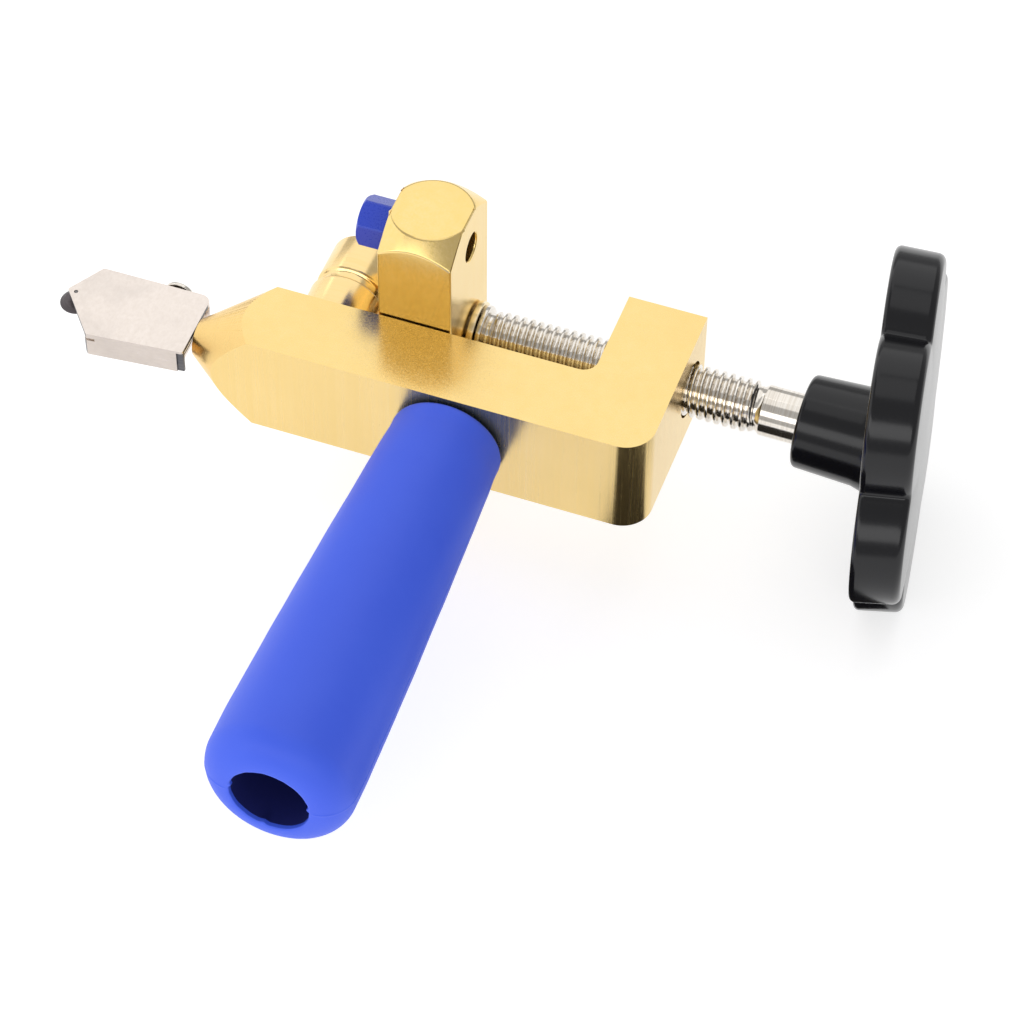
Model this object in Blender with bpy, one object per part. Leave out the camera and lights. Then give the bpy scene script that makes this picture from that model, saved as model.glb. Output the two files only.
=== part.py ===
"""Hand-held glass and tile cutter with a breaking jaw, in metres with +Z up.

The bar runs along X, the grip hangs off it towards -Y, and the breaking jaw slides along X
behind the bar, driven by a feed screw through the bar's arm.
"""

import math

import bmesh
import bpy
from mathutils import Matrix, Vector

MM = 0.001
GAP = 0.3
FULL_TURN = 2 * math.pi

# Where the drawing's datum (right end, back face and mid-plane of the bar) sits in the world.
DATUM = (31.5304, 23.8483, 30.3434)

# Bar and arm
BAR_LEFT = -84.0
BAR_NEAR = -14.05
BAR_HALF_HEIGHT = 10.0
ARM_WIDTH = 14.0
ARM_REACH = 18.7
OUTER_FILLET = 5.3
INNER_FILLET = 2.6
BAR_CHAMFER = 0.4

# Turned nose
NOSE_Y = BAR_NEAR / 2
NOSE_END = -82.9
NOSE_RADIUS = 3.35
NOSE_SLOPE = 0.735
NOSE_ROOT = -69.6
TURN_CLEARANCE = 60.0

# Feed screw
SCREW_Y = 10.8
PITCH = 1.5
THREAD_RADIUS = 4.6
THREAD_CORE = 3.85
THREAD_START = -36.6
THREAD_STOP = 12.0
THREAD_SIDES = 14
THREAD_STATIONS = ((0.0, THREAD_CORE), (0.3, THREAD_CORE), (0.65, THREAD_RADIUS))
ARM_BORE = 5.05
SHOULDER_LEFT = -37.7
SHOULDER_RADIUS = 5.0
SPIGOT_RADIUS = 3.0
SPIGOT_END = -52.3
CLIP_LEFT = -51.45
CLIP_THICKNESS = 0.6
CLIP_GROOVE = 2.3
CLIP_OUTER = 4.7
SHANK_RADIUS = 4.4
SHANK_END = 30.0

# Sliding jaw block
JAW_LEFT = -52.64
JAW_RIGHT = -39.49
JAW_NEAR = 0.3
JAW_FAR = 18.3
JAW_TOP = 28.55
JAW_FLAT_RADIUS = 7.0
COUNTERBORE_RADIUS = 5.3
COUNTERBORE_DEPTH = 2.4
RING_RADIUS = 5.4
RING_RIGHT = -38.0

# Pads
PAD_Y = 10.3
PAD_Z = 20.9
PAD_ACROSS_FLATS = 8.3
PAD_END = -58.9
PAD_CHAMFER = 0.8
PAD_STEM_RADIUS = 2.3
PAD_STEM_END = -46.5
PAD_HOLE_RADIUS = 2.6
PAD_HOLE_SINK = 0.4

# Anvil
ANVIL_X = -62.0
ANVIL_LENGTH = 19.2
ANVIL_RADIUS = 6.6
ANVIL_BELLY = 6.85
ANVIL_FOOT = 6.2
GROOVE_NEAR = 9.2
GROOVE_FAR = 11.2
GROOVE_RADIUS = 6.0
ANVIL_BOLT_RADIUS = 2.0
ANVIL_HEAD_RADIUS = 3.5
ANVIL_HEAD_HEIGHT = 3.0
ANVIL_BOLT_DEPTH = 8.0

# Handle
HANDLE_X = -34.6
GRIP_NEAR_BAR = -14.5
GRIP_END = -93.6
GRIP_NECK_RADIUS = 9.8
GRIP_BELLY_RADIUS = 12.65
GRIP_BELLY_Y = -82.0
GRIP_END_ROUND = 5.6
GRIP_BORE = 6.7
CORE_RADIUS = 6.3
CORE_END = -70.0
CORE_SPIGOT_RADIUS = 4.9
CORE_SPIGOT_DEPTH = 9.0

# Knob
KNOB_FRONT = 20.0
HUB_RADIUS = 8.15
HUB_EDGE = 1.0
HUB_FLARE = 1.6
HUB_OVERLAP = 2.4
STAR_LEFT = 32.1
STAR_RIGHT = 41.3
STAR_LOBES = 6
STAR_PHASE = math.radians(5.5)
LOBE_CENTRE = 18.6
LOBE_RADIUS = 13.9
KNOB_LEAN = math.radians(8.9)
KNOB_TILT = math.radians(-1.8)
STAR_ROUND = 1.3
LOBE_STEPS = 7

# Cutter head
HEAD_HALF = 2.5
SHEET = 0.8
HEAD_OUTLINE = ((-107.6, -6.5), (-103.7, 0.1), (-83.5, 0.3), (-83.2, -13.5), (-100.4, -15.2))
HEAD_SLOT_LEFT = (-100.4, -98.6)
CORE_HALF = 1.4
STEM_RADIUS = 2.2
NECK_RADIUS = 0.75
STEM_LEFT = -88.0
STEM_END = -66.0
STEM_GROOVE_RADIUS = 1.5
STEM_GROOVE = (-69.4, -67.2)
NOSE_BORE = 2.55
GRUB_RADIUS = 1.5
GRUB_TIP_RADIUS = 0.7
AXLE_X = -106.0
AXLE_Y = -6.65
AXLE_RADIUS = 0.5
WHEEL_RADIUS = 3.0
WHEEL_HALF = 0.55
CLAMP_X = -90.0
CLAMP_HEAD_RADIUS = 2.45


def clear_scene():
    for item in list(bpy.data.objects):
        bpy.data.objects.remove(item, do_unlink=True)


def material(name, colour, roughness, metallic):
    """A plain Principled material."""
    made = bpy.data.materials.new(name)
    made.use_nodes = True
    shader = made.node_tree.nodes["Principled BSDF"]
    shader.inputs["Base Color"].default_value = (*colour, 1.0)
    shader.inputs["Roughness"].default_value = roughness
    shader.inputs["Metallic"].default_value = metallic
    return made


def at(x, y, z):
    """A drawing position in millimetres as a world position in metres."""
    return Vector((x + DATUM[0], y + DATUM[1], z + DATUM[2])) * MM


def add_object(name, mesh, origin, look=None):
    """Link a mesh whose points are metres from `origin`, a drawing position."""
    item = bpy.data.objects.new(name, mesh)
    item.location = at(*origin)
    bpy.context.scene.collection.objects.link(item)
    if look:
        mesh.materials.append(look)
    return item


def finish(mesh_tool, name):
    """Turn a bmesh into a mesh with its faces pointing out."""
    bmesh.ops.remove_doubles(mesh_tool, verts=mesh_tool.verts, dist=1e-7)
    bmesh.ops.recalc_face_normals(mesh_tool, faces=mesh_tool.faces)
    mesh = bpy.data.meshes.new(name)
    mesh_tool.to_mesh(mesh)
    mesh_tool.free()
    return mesh


def smooth(item, angle=32.0):
    item.data.shade_smooth()
    item.data.set_sharp_from_angle(angle=math.radians(angle))
    return item


def axis_matrix(axis):
    """Turns the local Z axis onto the named axis."""
    if axis == "x":
        return Matrix.Rotation(math.radians(90), 3, "Y")
    if axis == "y":
        return Matrix.Rotation(math.radians(-90), 3, "X")
    return Matrix.Identity(3)


def turned(name, profile, axis, origin, look=None, sides=32, closed=False):
    """Spin a profile of (radius, distance along the axis) about the axis through `origin`."""
    tool = bmesh.new()
    points = [tool.verts.new((radius * MM, 0.0, along * MM)) for radius, along in profile]
    pairs = list(zip(points, points[1:]))
    if closed:
        pairs.append((points[-1], points[0]))
    edges = [tool.edges.new(pair) for pair in pairs]
    bmesh.ops.spin(
        tool,
        geom=points + edges,
        cent=(0, 0, 0),
        axis=(0, 0, 1),
        angle=FULL_TURN,
        steps=sides,
        use_merge=True,
    )
    bmesh.ops.remove_doubles(tool, verts=tool.verts, dist=1e-7)
    bmesh.ops.rotate(tool, verts=tool.verts, cent=(0, 0, 0), matrix=axis_matrix(axis))
    return smooth(add_object(name, finish(tool, name), origin, look))


def rod(name, radius, start, stop, axis, origin, look=None, sides=24, chamfer=0.0):
    """A plain round bar between two distances along its axis."""
    profile = [(0, start)]
    if chamfer:
        profile += [(radius - chamfer, start), (radius, start + chamfer)]
        profile += [(radius, stop - chamfer), (radius - chamfer, stop)]
    else:
        profile += [(radius, start), (radius, stop)]
    profile.append((0, stop))
    return turned(name, profile, axis, origin, look, sides)


def arc(centre, radius, start, stop, steps):
    """Points on an arc, with angles in degrees."""
    found = []
    for step in range(steps + 1):
        angle = math.radians(start + (stop - start) * step / steps)
        found.append((centre[0] + radius * math.cos(angle), centre[1] + radius * math.sin(angle)))
    return found


def prism(name, outline, low, high, origin, look=None, axis="z", chamfer=0.0, rows=1):
    """Extrude an outline along an axis and chamfer the edges round both end faces."""
    tool = bmesh.new()
    points = [tool.verts.new((x * MM, y * MM, low * MM)) for x, y in outline]
    base = tool.faces.new(points)
    grown = bmesh.ops.extrude_face_region(tool, geom=[base])
    lifted = [item for item in grown["geom"] if isinstance(item, bmesh.types.BMVert)]
    bmesh.ops.translate(tool, verts=lifted, vec=(0, 0, (high - low) * MM))
    bmesh.ops.recalc_face_normals(tool, faces=tool.faces)
    if chamfer:
        ends = [face for face in tool.faces if abs(face.normal.z) > 0.9]
        edges = list({edge for face in ends for edge in face.edges})
        bmesh.ops.bevel(
            tool, geom=edges, offset=chamfer * MM, segments=rows, profile=0.5, affect="EDGES"
        )
    bmesh.ops.rotate(tool, verts=tool.verts, cent=(0, 0, 0), matrix=axis_matrix(axis))
    return smooth(add_object(name, finish(tool, name), origin, look))


def combine(item, tools, operation="DIFFERENCE"):
    """Cut, join or intersect with hidden tool objects."""
    for tool in tools:
        tool.hide_render = True
        tool.display_type = "WIRE"
        step = item.modifiers.new(tool.name, "BOOLEAN")
        step.operation = operation
        step.solver = "EXACT"
        step.object = tool
    return item


def bar_outline():
    """The L-shaped outline of the bar and its arm, seen from above."""
    fillet = OUTER_FILLET
    inner = (-ARM_WIDTH - INNER_FILLET, INNER_FILLET)
    points = [(BAR_LEFT, 0.0), (BAR_LEFT, BAR_NEAR)]
    points += arc((-fillet, BAR_NEAR + fillet), fillet, -90, 0, 8)
    points += [(0.0, ARM_REACH), (-ARM_WIDTH, ARM_REACH)]
    points += arc(inner, INNER_FILLET, 0, -90, 5)
    return points


def nose_envelope():
    """A turned blank whose left end is the nose cone, for trimming the bar."""
    root_radius = NOSE_RADIUS + NOSE_SLOPE * (NOSE_ROOT - NOSE_END)
    profile = [
        (0, NOSE_END),
        (NOSE_RADIUS, NOSE_END),
        (root_radius, NOSE_ROOT),
        (TURN_CLEARANCE, NOSE_ROOT),
        (TURN_CLEARANCE, TURN_CLEARANCE),
        (0, TURN_CLEARANCE),
    ]
    return turned("nose_envelope", profile, "x", (0, NOSE_Y, 0), sides=64)


def build_frame(gold):
    body = prism(
        "frame_body",
        bar_outline(),
        -BAR_HALF_HEIGHT,
        BAR_HALF_HEIGHT,
        (0, 0, 0),
        gold,
        chamfer=BAR_CHAMFER,
    )
    combine(body, [nose_envelope()], "INTERSECT")
    screw_bore = rod("arm_bore", ARM_BORE, -ARM_WIDTH - 4, 4, "x", (0, SCREW_Y, 0), sides=32)
    spigot_depth = CORE_SPIGOT_DEPTH + GAP
    handle_bore = rod(
        "handle_bore",
        CORE_SPIGOT_RADIUS + GAP,
        BAR_NEAR - 4,
        BAR_NEAR + spigot_depth,
        "y",
        (HANDLE_X, 0, 0),
    )
    anvil_bore = rod(
        "anvil_bore", ANVIL_BOLT_RADIUS + GAP, -ANVIL_BOLT_DEPTH - GAP, 4, "y", (ANVIL_X, 0, 0)
    )
    nose_bore = rod(
        "nose_bore", NOSE_BORE, NOSE_END - 4, STEM_END + GAP, "x", (0, NOSE_Y, 0)
    )
    grub_x = sum(STEM_GROOVE) / 2
    grub_bore = rod(
        "grub_bore",
        GRUB_RADIUS + GAP,
        -BAR_HALF_HEIGHT - 4,
        -1.0,
        "z",
        (grub_x, NOSE_Y, 0),
        sides=16,
    )
    combine(body, [screw_bore, handle_bore, anvil_bore, nose_bore, grub_bore])


def build_handle(rubber, steel):
    spigot = [
        (0, BAR_NEAR + CORE_SPIGOT_DEPTH),
        (CORE_SPIGOT_RADIUS, BAR_NEAR + CORE_SPIGOT_DEPTH),
        (CORE_SPIGOT_RADIUS, BAR_NEAR - GAP),
        (CORE_RADIUS, BAR_NEAR - GAP),
        (CORE_RADIUS, CORE_END + 1.0),
        (CORE_RADIUS - 1.0, CORE_END),
        (0, CORE_END),
    ]
    turned("handle_core", spigot, "y", (HANDLE_X, 0, 0), steel)
    belly = GRIP_BELLY_RADIUS
    round_radius = GRIP_END_ROUND
    grip = [
        (GRIP_BORE, GRIP_NEAR_BAR),
        (GRIP_NECK_RADIUS - 1.0, GRIP_NEAR_BAR),
        (GRIP_NECK_RADIUS - 0.3, GRIP_NEAR_BAR - 0.3),
        (GRIP_NECK_RADIUS, GRIP_NEAR_BAR - 1.0),
    ]
    length = GRIP_NEAR_BAR - 1.0 - GRIP_BELLY_Y
    for step in range(1, 7):
        part = step / 6
        swell = math.sin(part * math.pi / 2)
        radius = GRIP_NECK_RADIUS + (belly - GRIP_NECK_RADIUS) * (0.6 * part + 0.4 * swell)
        grip.append((radius, GRIP_NEAR_BAR - 1.0 - length * part))
    centre = (belly - round_radius, GRIP_END + round_radius)
    grip += arc(centre, round_radius, 0, -90, 8)
    grip += [(GRIP_BORE + 0.4, GRIP_END + 0.1), (GRIP_BORE, GRIP_END + 0.5)]
    turned("handle_grip", grip, "y", (HANDLE_X, 0, 0), rubber, sides=40, closed=True)


def build_anvil(gold, steel):
    bolt_bore = ANVIL_BOLT_RADIUS + GAP
    head_bore = ANVIL_HEAD_RADIUS + GAP
    far = ANVIL_LENGTH + GAP
    seat = far - ANVIL_HEAD_HEIGHT - 2 * GAP
    profile = [
        (bolt_bore, GAP),
        (ANVIL_FOOT, GAP),
        (ANVIL_FOOT + 0.45, 4.5),
        (ANVIL_BELLY, GROOVE_NEAR - 0.4),
        (ANVIL_BELLY - 0.3, GROOVE_NEAR),
        (GROOVE_RADIUS, GROOVE_NEAR + 0.3),
        (GROOVE_RADIUS, GROOVE_FAR - 0.3),
        (ANVIL_RADIUS - 0.2, GROOVE_FAR),
        (ANVIL_RADIUS, GROOVE_FAR + 0.3),
        (ANVIL_RADIUS, far - 0.6),
        (ANVIL_RADIUS - 0.6, far),
        (head_bore, far),
        (head_bore, seat),
        (bolt_bore, seat),
    ]
    turned("anvil", profile, "y", (ANVIL_X, 0, 0), gold, sides=40, closed=True)
    head_low = seat + GAP
    head_high = head_low + ANVIL_HEAD_HEIGHT
    bolt = [
        (0, -ANVIL_BOLT_DEPTH),
        (ANVIL_BOLT_RADIUS, -ANVIL_BOLT_DEPTH),
        (ANVIL_BOLT_RADIUS, head_low),
        (ANVIL_HEAD_RADIUS, head_low),
        (ANVIL_HEAD_RADIUS, head_high - 0.3),
        (ANVIL_HEAD_RADIUS - 0.3, head_high),
        (0, head_high),
    ]
    screw = turned("anvil_screw", bolt, "y", (ANVIL_X, 0, 0), steel, sides=24)
    socket = rod(
        "anvil_socket", 1.7, head_high - 1.8, head_high + 2, "y", (ANVIL_X, 0, 0), sides=6
    )
    combine(screw, [socket])


def build_jaw(gold, plastic, bronze):
    middle = ((JAW_LEFT + JAW_RIGHT) / 2, (JAW_NEAR + JAW_FAR) / 2)
    half_x = (JAW_RIGHT - JAW_LEFT) / 2
    half_y = (JAW_FAR - JAW_NEAR) / 2
    square = [(-half_x, -half_y), (half_x, -half_y), (half_x, half_y), (-half_x, half_y)]
    block = prism("jaw_block", square, -JAW_TOP, JAW_TOP, (*middle, 0), gold)
    corner = math.hypot(half_x, half_y) + 1.0
    corner_z = JAW_TOP - (corner - JAW_FLAT_RADIUS)
    barrel = [
        (0, -JAW_TOP),
        (JAW_FLAT_RADIUS, -JAW_TOP),
        (corner, -corner_z),
        (corner, corner_z),
        (JAW_FLAT_RADIUS, JAW_TOP),
        (0, JAW_TOP),
    ]
    combine(block, [turned("jaw_barrel", barrel, "z", (*middle, 0), sides=64)], "INTERSECT")
    reach = (JAW_LEFT - 4, JAW_RIGHT + 4)
    spigot_bore = rod("spigot_bore", SPIGOT_RADIUS + GAP, *reach, "x", (0, SCREW_Y, 0))
    counterbore = rod(
        "clip_counterbore",
        COUNTERBORE_RADIUS,
        JAW_LEFT - 4,
        JAW_LEFT + COUNTERBORE_DEPTH,
        "x",
        (0, SCREW_Y, 0),
    )
    combine(block, [spigot_bore, counterbore])
    for name, side in (("upper", 1), ("lower", -1)):
        origin = (0, PAD_Y, side * PAD_Z)
        sink = PAD_HOLE_RADIUS + PAD_HOLE_SINK
        hole = [
            (0, reach[0]),
            (PAD_HOLE_RADIUS, reach[0]),
            (PAD_HOLE_RADIUS, JAW_RIGHT - PAD_HOLE_SINK),
            (sink + 2, JAW_RIGHT + 2),
            (0, JAW_RIGHT + 2),
        ]
        combine(block, [turned(name + "_pad_hole", hole, "x", origin)])
        build_pad(name + "_pad", origin, plastic)
    ring = [
        (SPIGOT_RADIUS + GAP, JAW_RIGHT + GAP),
        (RING_RADIUS, JAW_RIGHT + GAP),
        (RING_RADIUS, RING_RIGHT - 0.2),
        (RING_RADIUS - 0.2, RING_RIGHT),
        (SPIGOT_RADIUS + GAP, RING_RIGHT),
    ]
    turned("thrust_ring", ring, "x", (0, SCREW_Y, 0), bronze, closed=True)


def build_pad(name, origin, plastic):
    """A hexagonal pad with a round stem that plugs into the jaw's cross hole."""
    corner = PAD_ACROSS_FLATS / math.sqrt(3)
    right = JAW_LEFT - GAP
    head = [
        (0, PAD_END),
        (corner - PAD_CHAMFER, PAD_END),
        (corner, PAD_END + PAD_CHAMFER),
        (corner, right),
        (0, right),
    ]
    pad = turned(name, head, "x", origin, plastic, sides=6)
    stem = rod(name + "_stem", PAD_STEM_RADIUS, right - 2, PAD_STEM_END, "x", origin)
    combine(pad, [stem], "UNION")


def thread_grid(tool):
    """The thread's surface: columns round the axis, each one shifted along by its share of a pitch."""
    turns = int((THREAD_STOP - THREAD_START) / PITCH) - 1
    columns = []
    for side in range(THREAD_SIDES):
        angle = FULL_TURN * side / THREAD_SIDES
        column = []
        for turn in range(turns + 1):
            for part, radius in THREAD_STATIONS:
                along = THREAD_START + PITCH * (turn + part + side / THREAD_SIDES)
                y = radius * math.cos(angle)
                z = radius * math.sin(angle)
                column.append(tool.verts.new((along * MM, y * MM, z * MM)))
        columns.append(column)
    lead = len(THREAD_STATIONS)
    columns.append(columns[0][lead:])
    for near, far in zip(columns, columns[1:]):
        for row in range(lead * turns - 1):
            tool.faces.new((near[row], near[row + 1], far[row + 1], far[row]))
    return columns, lead * turns


def ring_of(tool, radius, along):
    """One circle of points round the axis."""
    found = []
    for side in range(THREAD_SIDES):
        angle = FULL_TURN * side / THREAD_SIDES
        y = radius * math.cos(angle)
        z = radius * math.sin(angle)
        found.append(tool.verts.new((along * MM, y * MM, z * MM)))
    return found


def shaft_rings(tool, profile):
    """A turned stretch, closed by a flat face at its first ring. Returns its last ring."""
    rings = [ring_of(tool, radius, along) for radius, along in profile]
    tool.faces.new(rings[0])
    for near, far in zip(rings, rings[1:]):
        for side in range(THREAD_SIDES):
            after = (side + 1) % THREAD_SIDES
            tool.faces.new((near[side], near[after], far[after], far[side]))
    return rings[-1]


def threaded_rod(name, left, right, origin, look):
    """A turned rod whose middle carries a right-hand thread between two turned ends."""
    tool = bmesh.new()
    columns, rows = thread_grid(tool)
    lead = len(THREAD_STATIONS)
    start = shaft_rings(tool, left)
    stop = shaft_rings(tool, right)
    for side in range(THREAD_SIDES):
        after = (side + 1) % THREAD_SIDES
        near = columns[side]
        far = columns[side + 1]
        tool.faces.new((start[side], start[after], far[0], near[0]))
        tool.faces.new((stop[side], stop[after], far[rows - 1], near[rows - 1]))
    tool.faces.new([start[0]] + columns[0][: lead + 1])
    tool.faces.new([stop[0]] + columns[0][rows - 1 : rows + lead])
    return smooth(add_object(name, finish(tool, name), origin, look))


def build_screw(chrome, steel):
    origin = (0, SCREW_Y, 0)
    clip_right = CLIP_LEFT + CLIP_THICKNESS
    left = [
        (SPIGOT_RADIUS, SPIGOT_END),
        (SPIGOT_RADIUS, CLIP_LEFT - GAP),
        (CLIP_GROOVE, CLIP_LEFT - GAP),
        (CLIP_GROOVE, clip_right + GAP),
        (SPIGOT_RADIUS, clip_right + GAP),
        (SPIGOT_RADIUS, SHOULDER_LEFT),
        (SHOULDER_RADIUS - 0.2, SHOULDER_LEFT),
        (SHOULDER_RADIUS, SHOULDER_LEFT + 0.2),
        (SHOULDER_RADIUS, THREAD_START - 0.7),
        (SHOULDER_RADIUS - 0.2, THREAD_START - 0.5),
        (THREAD_CORE, THREAD_START - 0.5),
    ]
    right = [
        (SHANK_RADIUS, SHANK_END),
        (SHANK_RADIUS, THREAD_STOP + 1.6),
        (THREAD_CORE, THREAD_STOP + 0.6),
    ]
    threaded_rod("feed_screw", left, right, origin, chrome)
    inner = CLIP_GROOVE + GAP
    points = arc((0, 0), CLIP_OUTER, 25, 335, 20)
    points += arc((0, 0), inner, 335, 25, 20)
    prism("retaining_clip", points, CLIP_LEFT, clip_right, origin, steel, axis="x")


def lobe_reach(angle):
    """Distance from the knob's axis to the outermost lobe circle at an angle."""
    reach = 0.0
    for lobe in range(STAR_LOBES):
        away = angle - STAR_PHASE - FULL_TURN * lobe / STAR_LOBES
        under = LOBE_RADIUS**2 - (LOBE_CENTRE * math.sin(away)) ** 2
        if under > 0:
            reach = max(reach, LOBE_CENTRE * math.cos(away) + math.sqrt(under))
    return reach


def star_outline():
    """Convex lobes that meet in narrow valleys, drawn so that turning onto X keeps their angle."""
    found = []
    count = STAR_LOBES * LOBE_STEPS * 2
    for step in range(count):
        angle = FULL_TURN * step / count
        reach = lobe_reach(angle)
        found.append((-reach * math.sin(angle), reach * math.cos(angle)))
    return found


def build_knob(plastic):
    origin = (0, SCREW_Y, 0)
    star = prism(
        "star_knob",
        star_outline(),
        STAR_LEFT,
        STAR_RIGHT,
        origin,
        plastic,
        axis="x",
        chamfer=STAR_ROUND,
        rows=2,
    )
    pivot = Matrix.Translation((KNOB_FRONT * MM, 0, 0))
    lean = Matrix.Rotation(KNOB_TILT, 4, "Y") @ Matrix.Rotation(KNOB_LEAN, 4, "Z")
    star.data.transform(pivot @ lean @ pivot.inverted())
    hub_end = STAR_LEFT + HUB_OVERLAP
    hub = [
        (0, KNOB_FRONT),
        (HUB_RADIUS - HUB_EDGE, KNOB_FRONT),
        (HUB_RADIUS - HUB_EDGE / 3, KNOB_FRONT + HUB_EDGE / 3),
        (HUB_RADIUS, KNOB_FRONT + HUB_EDGE),
        (HUB_RADIUS + HUB_FLARE / 4, STAR_LEFT - HUB_FLARE),
        (HUB_RADIUS + HUB_FLARE, hub_end),
        (0, hub_end),
    ]
    combine(star, [turned("knob_hub", hub, "x", origin)], "UNION")
    bore = rod("knob_bore", SHANK_RADIUS + GAP, KNOB_FRONT - 4, SHANK_END + GAP, "x", origin)
    combine(star, [bore])


def inset(outline, distance):
    """Move every side of a convex outline inwards."""
    count = len(outline)
    lines = []
    centre = Vector((sum(p[0] for p in outline) / count, sum(p[1] for p in outline) / count))
    for index in range(count):
        start = Vector(outline[index])
        along = (Vector(outline[(index + 1) % count]) - start).normalized()
        inward = Vector((-along.y, along.x))
        if inward.dot(centre - start) < 0:
            inward = -inward
        lines.append((start + inward * distance, along))
    found = []
    for index in range(count):
        (p, u), (q, v) = lines[index - 1], lines[index]
        t = ((q - p).x * v.y - (q - p).y * v.x) / (u.x * v.y - u.y * v.x)
        found.append(tuple(p + u * t))
    return found


def build_head(nickel, steel, brass):
    shell = prism(
        "head_shell", HEAD_OUTLINE, -HEAD_HALF, HEAD_HALF, (0, 0, 0), nickel, chamfer=0.25
    )
    hollow = inset(HEAD_OUTLINE, SHEET)
    open_left = HEAD_OUTLINE[0][0] - 4
    open_right = HEAD_OUTLINE[2][0] + 4
    near_slope = (hollow[3][1] - hollow[4][1]) / (hollow[3][0] - hollow[4][0])
    cavity = [
        (open_left, hollow[4][1] + near_slope * (open_left - hollow[4][0])),
        (open_right, hollow[4][1] + near_slope * (open_right - hollow[4][0])),
        (open_right, hollow[2][1]),
        (open_left, hollow[1][1]),
    ]
    pocket = prism("shell_pocket", cavity, -HEAD_HALF - 4, HEAD_HALF - SHEET, (0, 0, 0))
    slot = [
        (HEAD_SLOT_LEFT[0], HEAD_OUTLINE[4][1] - 3),
        (HEAD_SLOT_LEFT[1], HEAD_OUTLINE[4][1] - 3),
        (HEAD_SLOT_LEFT[1], HEAD_OUTLINE[4][1] + 2),
        (HEAD_SLOT_LEFT[0], HEAD_OUTLINE[4][1] + 2),
    ]
    relief = prism("bend_relief", slot, HEAD_HALF - SHEET - 0.6, HEAD_HALF - SHEET + 0.05, (0, 0, 0))
    axle_hole = rod(
        "axle_hole", AXLE_RADIUS + GAP, -8, 8, "z", (AXLE_X, AXLE_Y, 0), sides=16
    )
    clamp_hole = rod("clamp_hole", 1.2 + GAP, -3, 3, "y", (CLAMP_X, 0, 0), sides=16)
    combine(shell, [pocket, relief, axle_hole, clamp_hole])
    base_outline = inset(HEAD_OUTLINE, SHEET + GAP)
    base = prism(
        "head_base", base_outline, -HEAD_HALF, -HEAD_HALF + SHEET, (0, 0, 0), nickel, chamfer=0.15
    )
    combine(base, [axle_hole])
    core_left = AXLE_X + WHEEL_RADIUS + 0.6
    far = base_outline[2][1]
    near = base_outline[4][1] + 1.4
    block = [
        (core_left, near + 3.5),
        (core_left, far - 3.5),
        (core_left + 2.5, far),
        (base_outline[2][0], far),
        (base_outline[3][0], near),
        (core_left + 2.5, near),
    ]
    core = prism("head_core", block, -CORE_HALF, CORE_HALF, (0, 0, 0), brass, chamfer=0.2)
    core_bore = rod("core_bore", NECK_RADIUS + GAP, STEM_LEFT - GAP, -70, "x", (0, NOSE_Y, 0))
    clamp_bore = rod("clamp_bore", 1.2 + GAP, -5.5, 4, "y", (CLAMP_X, 0, 0), sides=16)
    combine(core, [core_bore, clamp_bore])


def build_stem(steel):
    groove_left, groove_right = STEM_GROOVE
    profile = [
        (0, STEM_LEFT),
        (NECK_RADIUS, STEM_LEFT),
        (NECK_RADIUS, NOSE_END + GAP),
        (STEM_RADIUS, NOSE_END + GAP),
        (STEM_RADIUS, groove_left),
        (STEM_GROOVE_RADIUS, groove_left),
        (STEM_GROOVE_RADIUS, groove_right),
        (STEM_RADIUS, groove_right),
        (STEM_RADIUS, STEM_END - 0.4),
        (STEM_RADIUS - 0.4, STEM_END),
        (0, STEM_END),
    ]
    turned("head_stem", profile, "x", (0, NOSE_Y, 0), steel, sides=24)
    grub_x = (groove_left + groove_right) / 2
    low = -BAR_HALF_HEIGHT + 0.4
    grub = [
        (0, low),
        (GRUB_RADIUS, low),
        (GRUB_RADIUS, -3.0),
        (GRUB_TIP_RADIUS, -2.6),
        (GRUB_TIP_RADIUS, -STEM_GROOVE_RADIUS - GAP),
        (0, -STEM_GROOVE_RADIUS - GAP),
    ]
    screw = turned("stem_grub_screw", grub, "z", (grub_x, NOSE_Y, 0), steel, sides=16)
    socket = rod("grub_socket", 0.8, low - 2, low + 1.6, "z", (grub_x, NOSE_Y, 0), sides=6)
    combine(screw, [socket])


def build_wheel(steel, carbide):
    rod(
        "wheel_axle",
        AXLE_RADIUS,
        -HEAD_HALF + 0.05,
        HEAD_HALF - 0.05,
        "z",
        (AXLE_X, AXLE_Y, 0),
        steel,
        sides=16,
    )
    bore = AXLE_RADIUS + GAP
    profile = [
        (bore, -WHEEL_HALF),
        (WHEEL_RADIUS - 0.6, -WHEEL_HALF),
        (WHEEL_RADIUS, -0.06),
        (WHEEL_RADIUS, 0.06),
        (WHEEL_RADIUS - 0.6, WHEEL_HALF),
        (bore, WHEEL_HALF),
    ]
    turned("cutting_wheel", profile, "z", (AXLE_X, AXLE_Y, 0), carbide, sides=32, closed=True)


def build_clamp_screw(steel):
    face = HEAD_OUTLINE[1][1] + GAP + 0.2
    profile = [
        (0, -4.6),
        (1.2, -4.6),
        (1.2, face),
        (CLAMP_HEAD_RADIUS, face),
        (CLAMP_HEAD_RADIUS, face + 0.9),
        (CLAMP_HEAD_RADIUS - 0.4, face + 1.3),
        (0, face + 1.3),
    ]
    turned("head_clamp_screw", profile, "y", (CLAMP_X, 0, 0), steel, sides=24)


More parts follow.
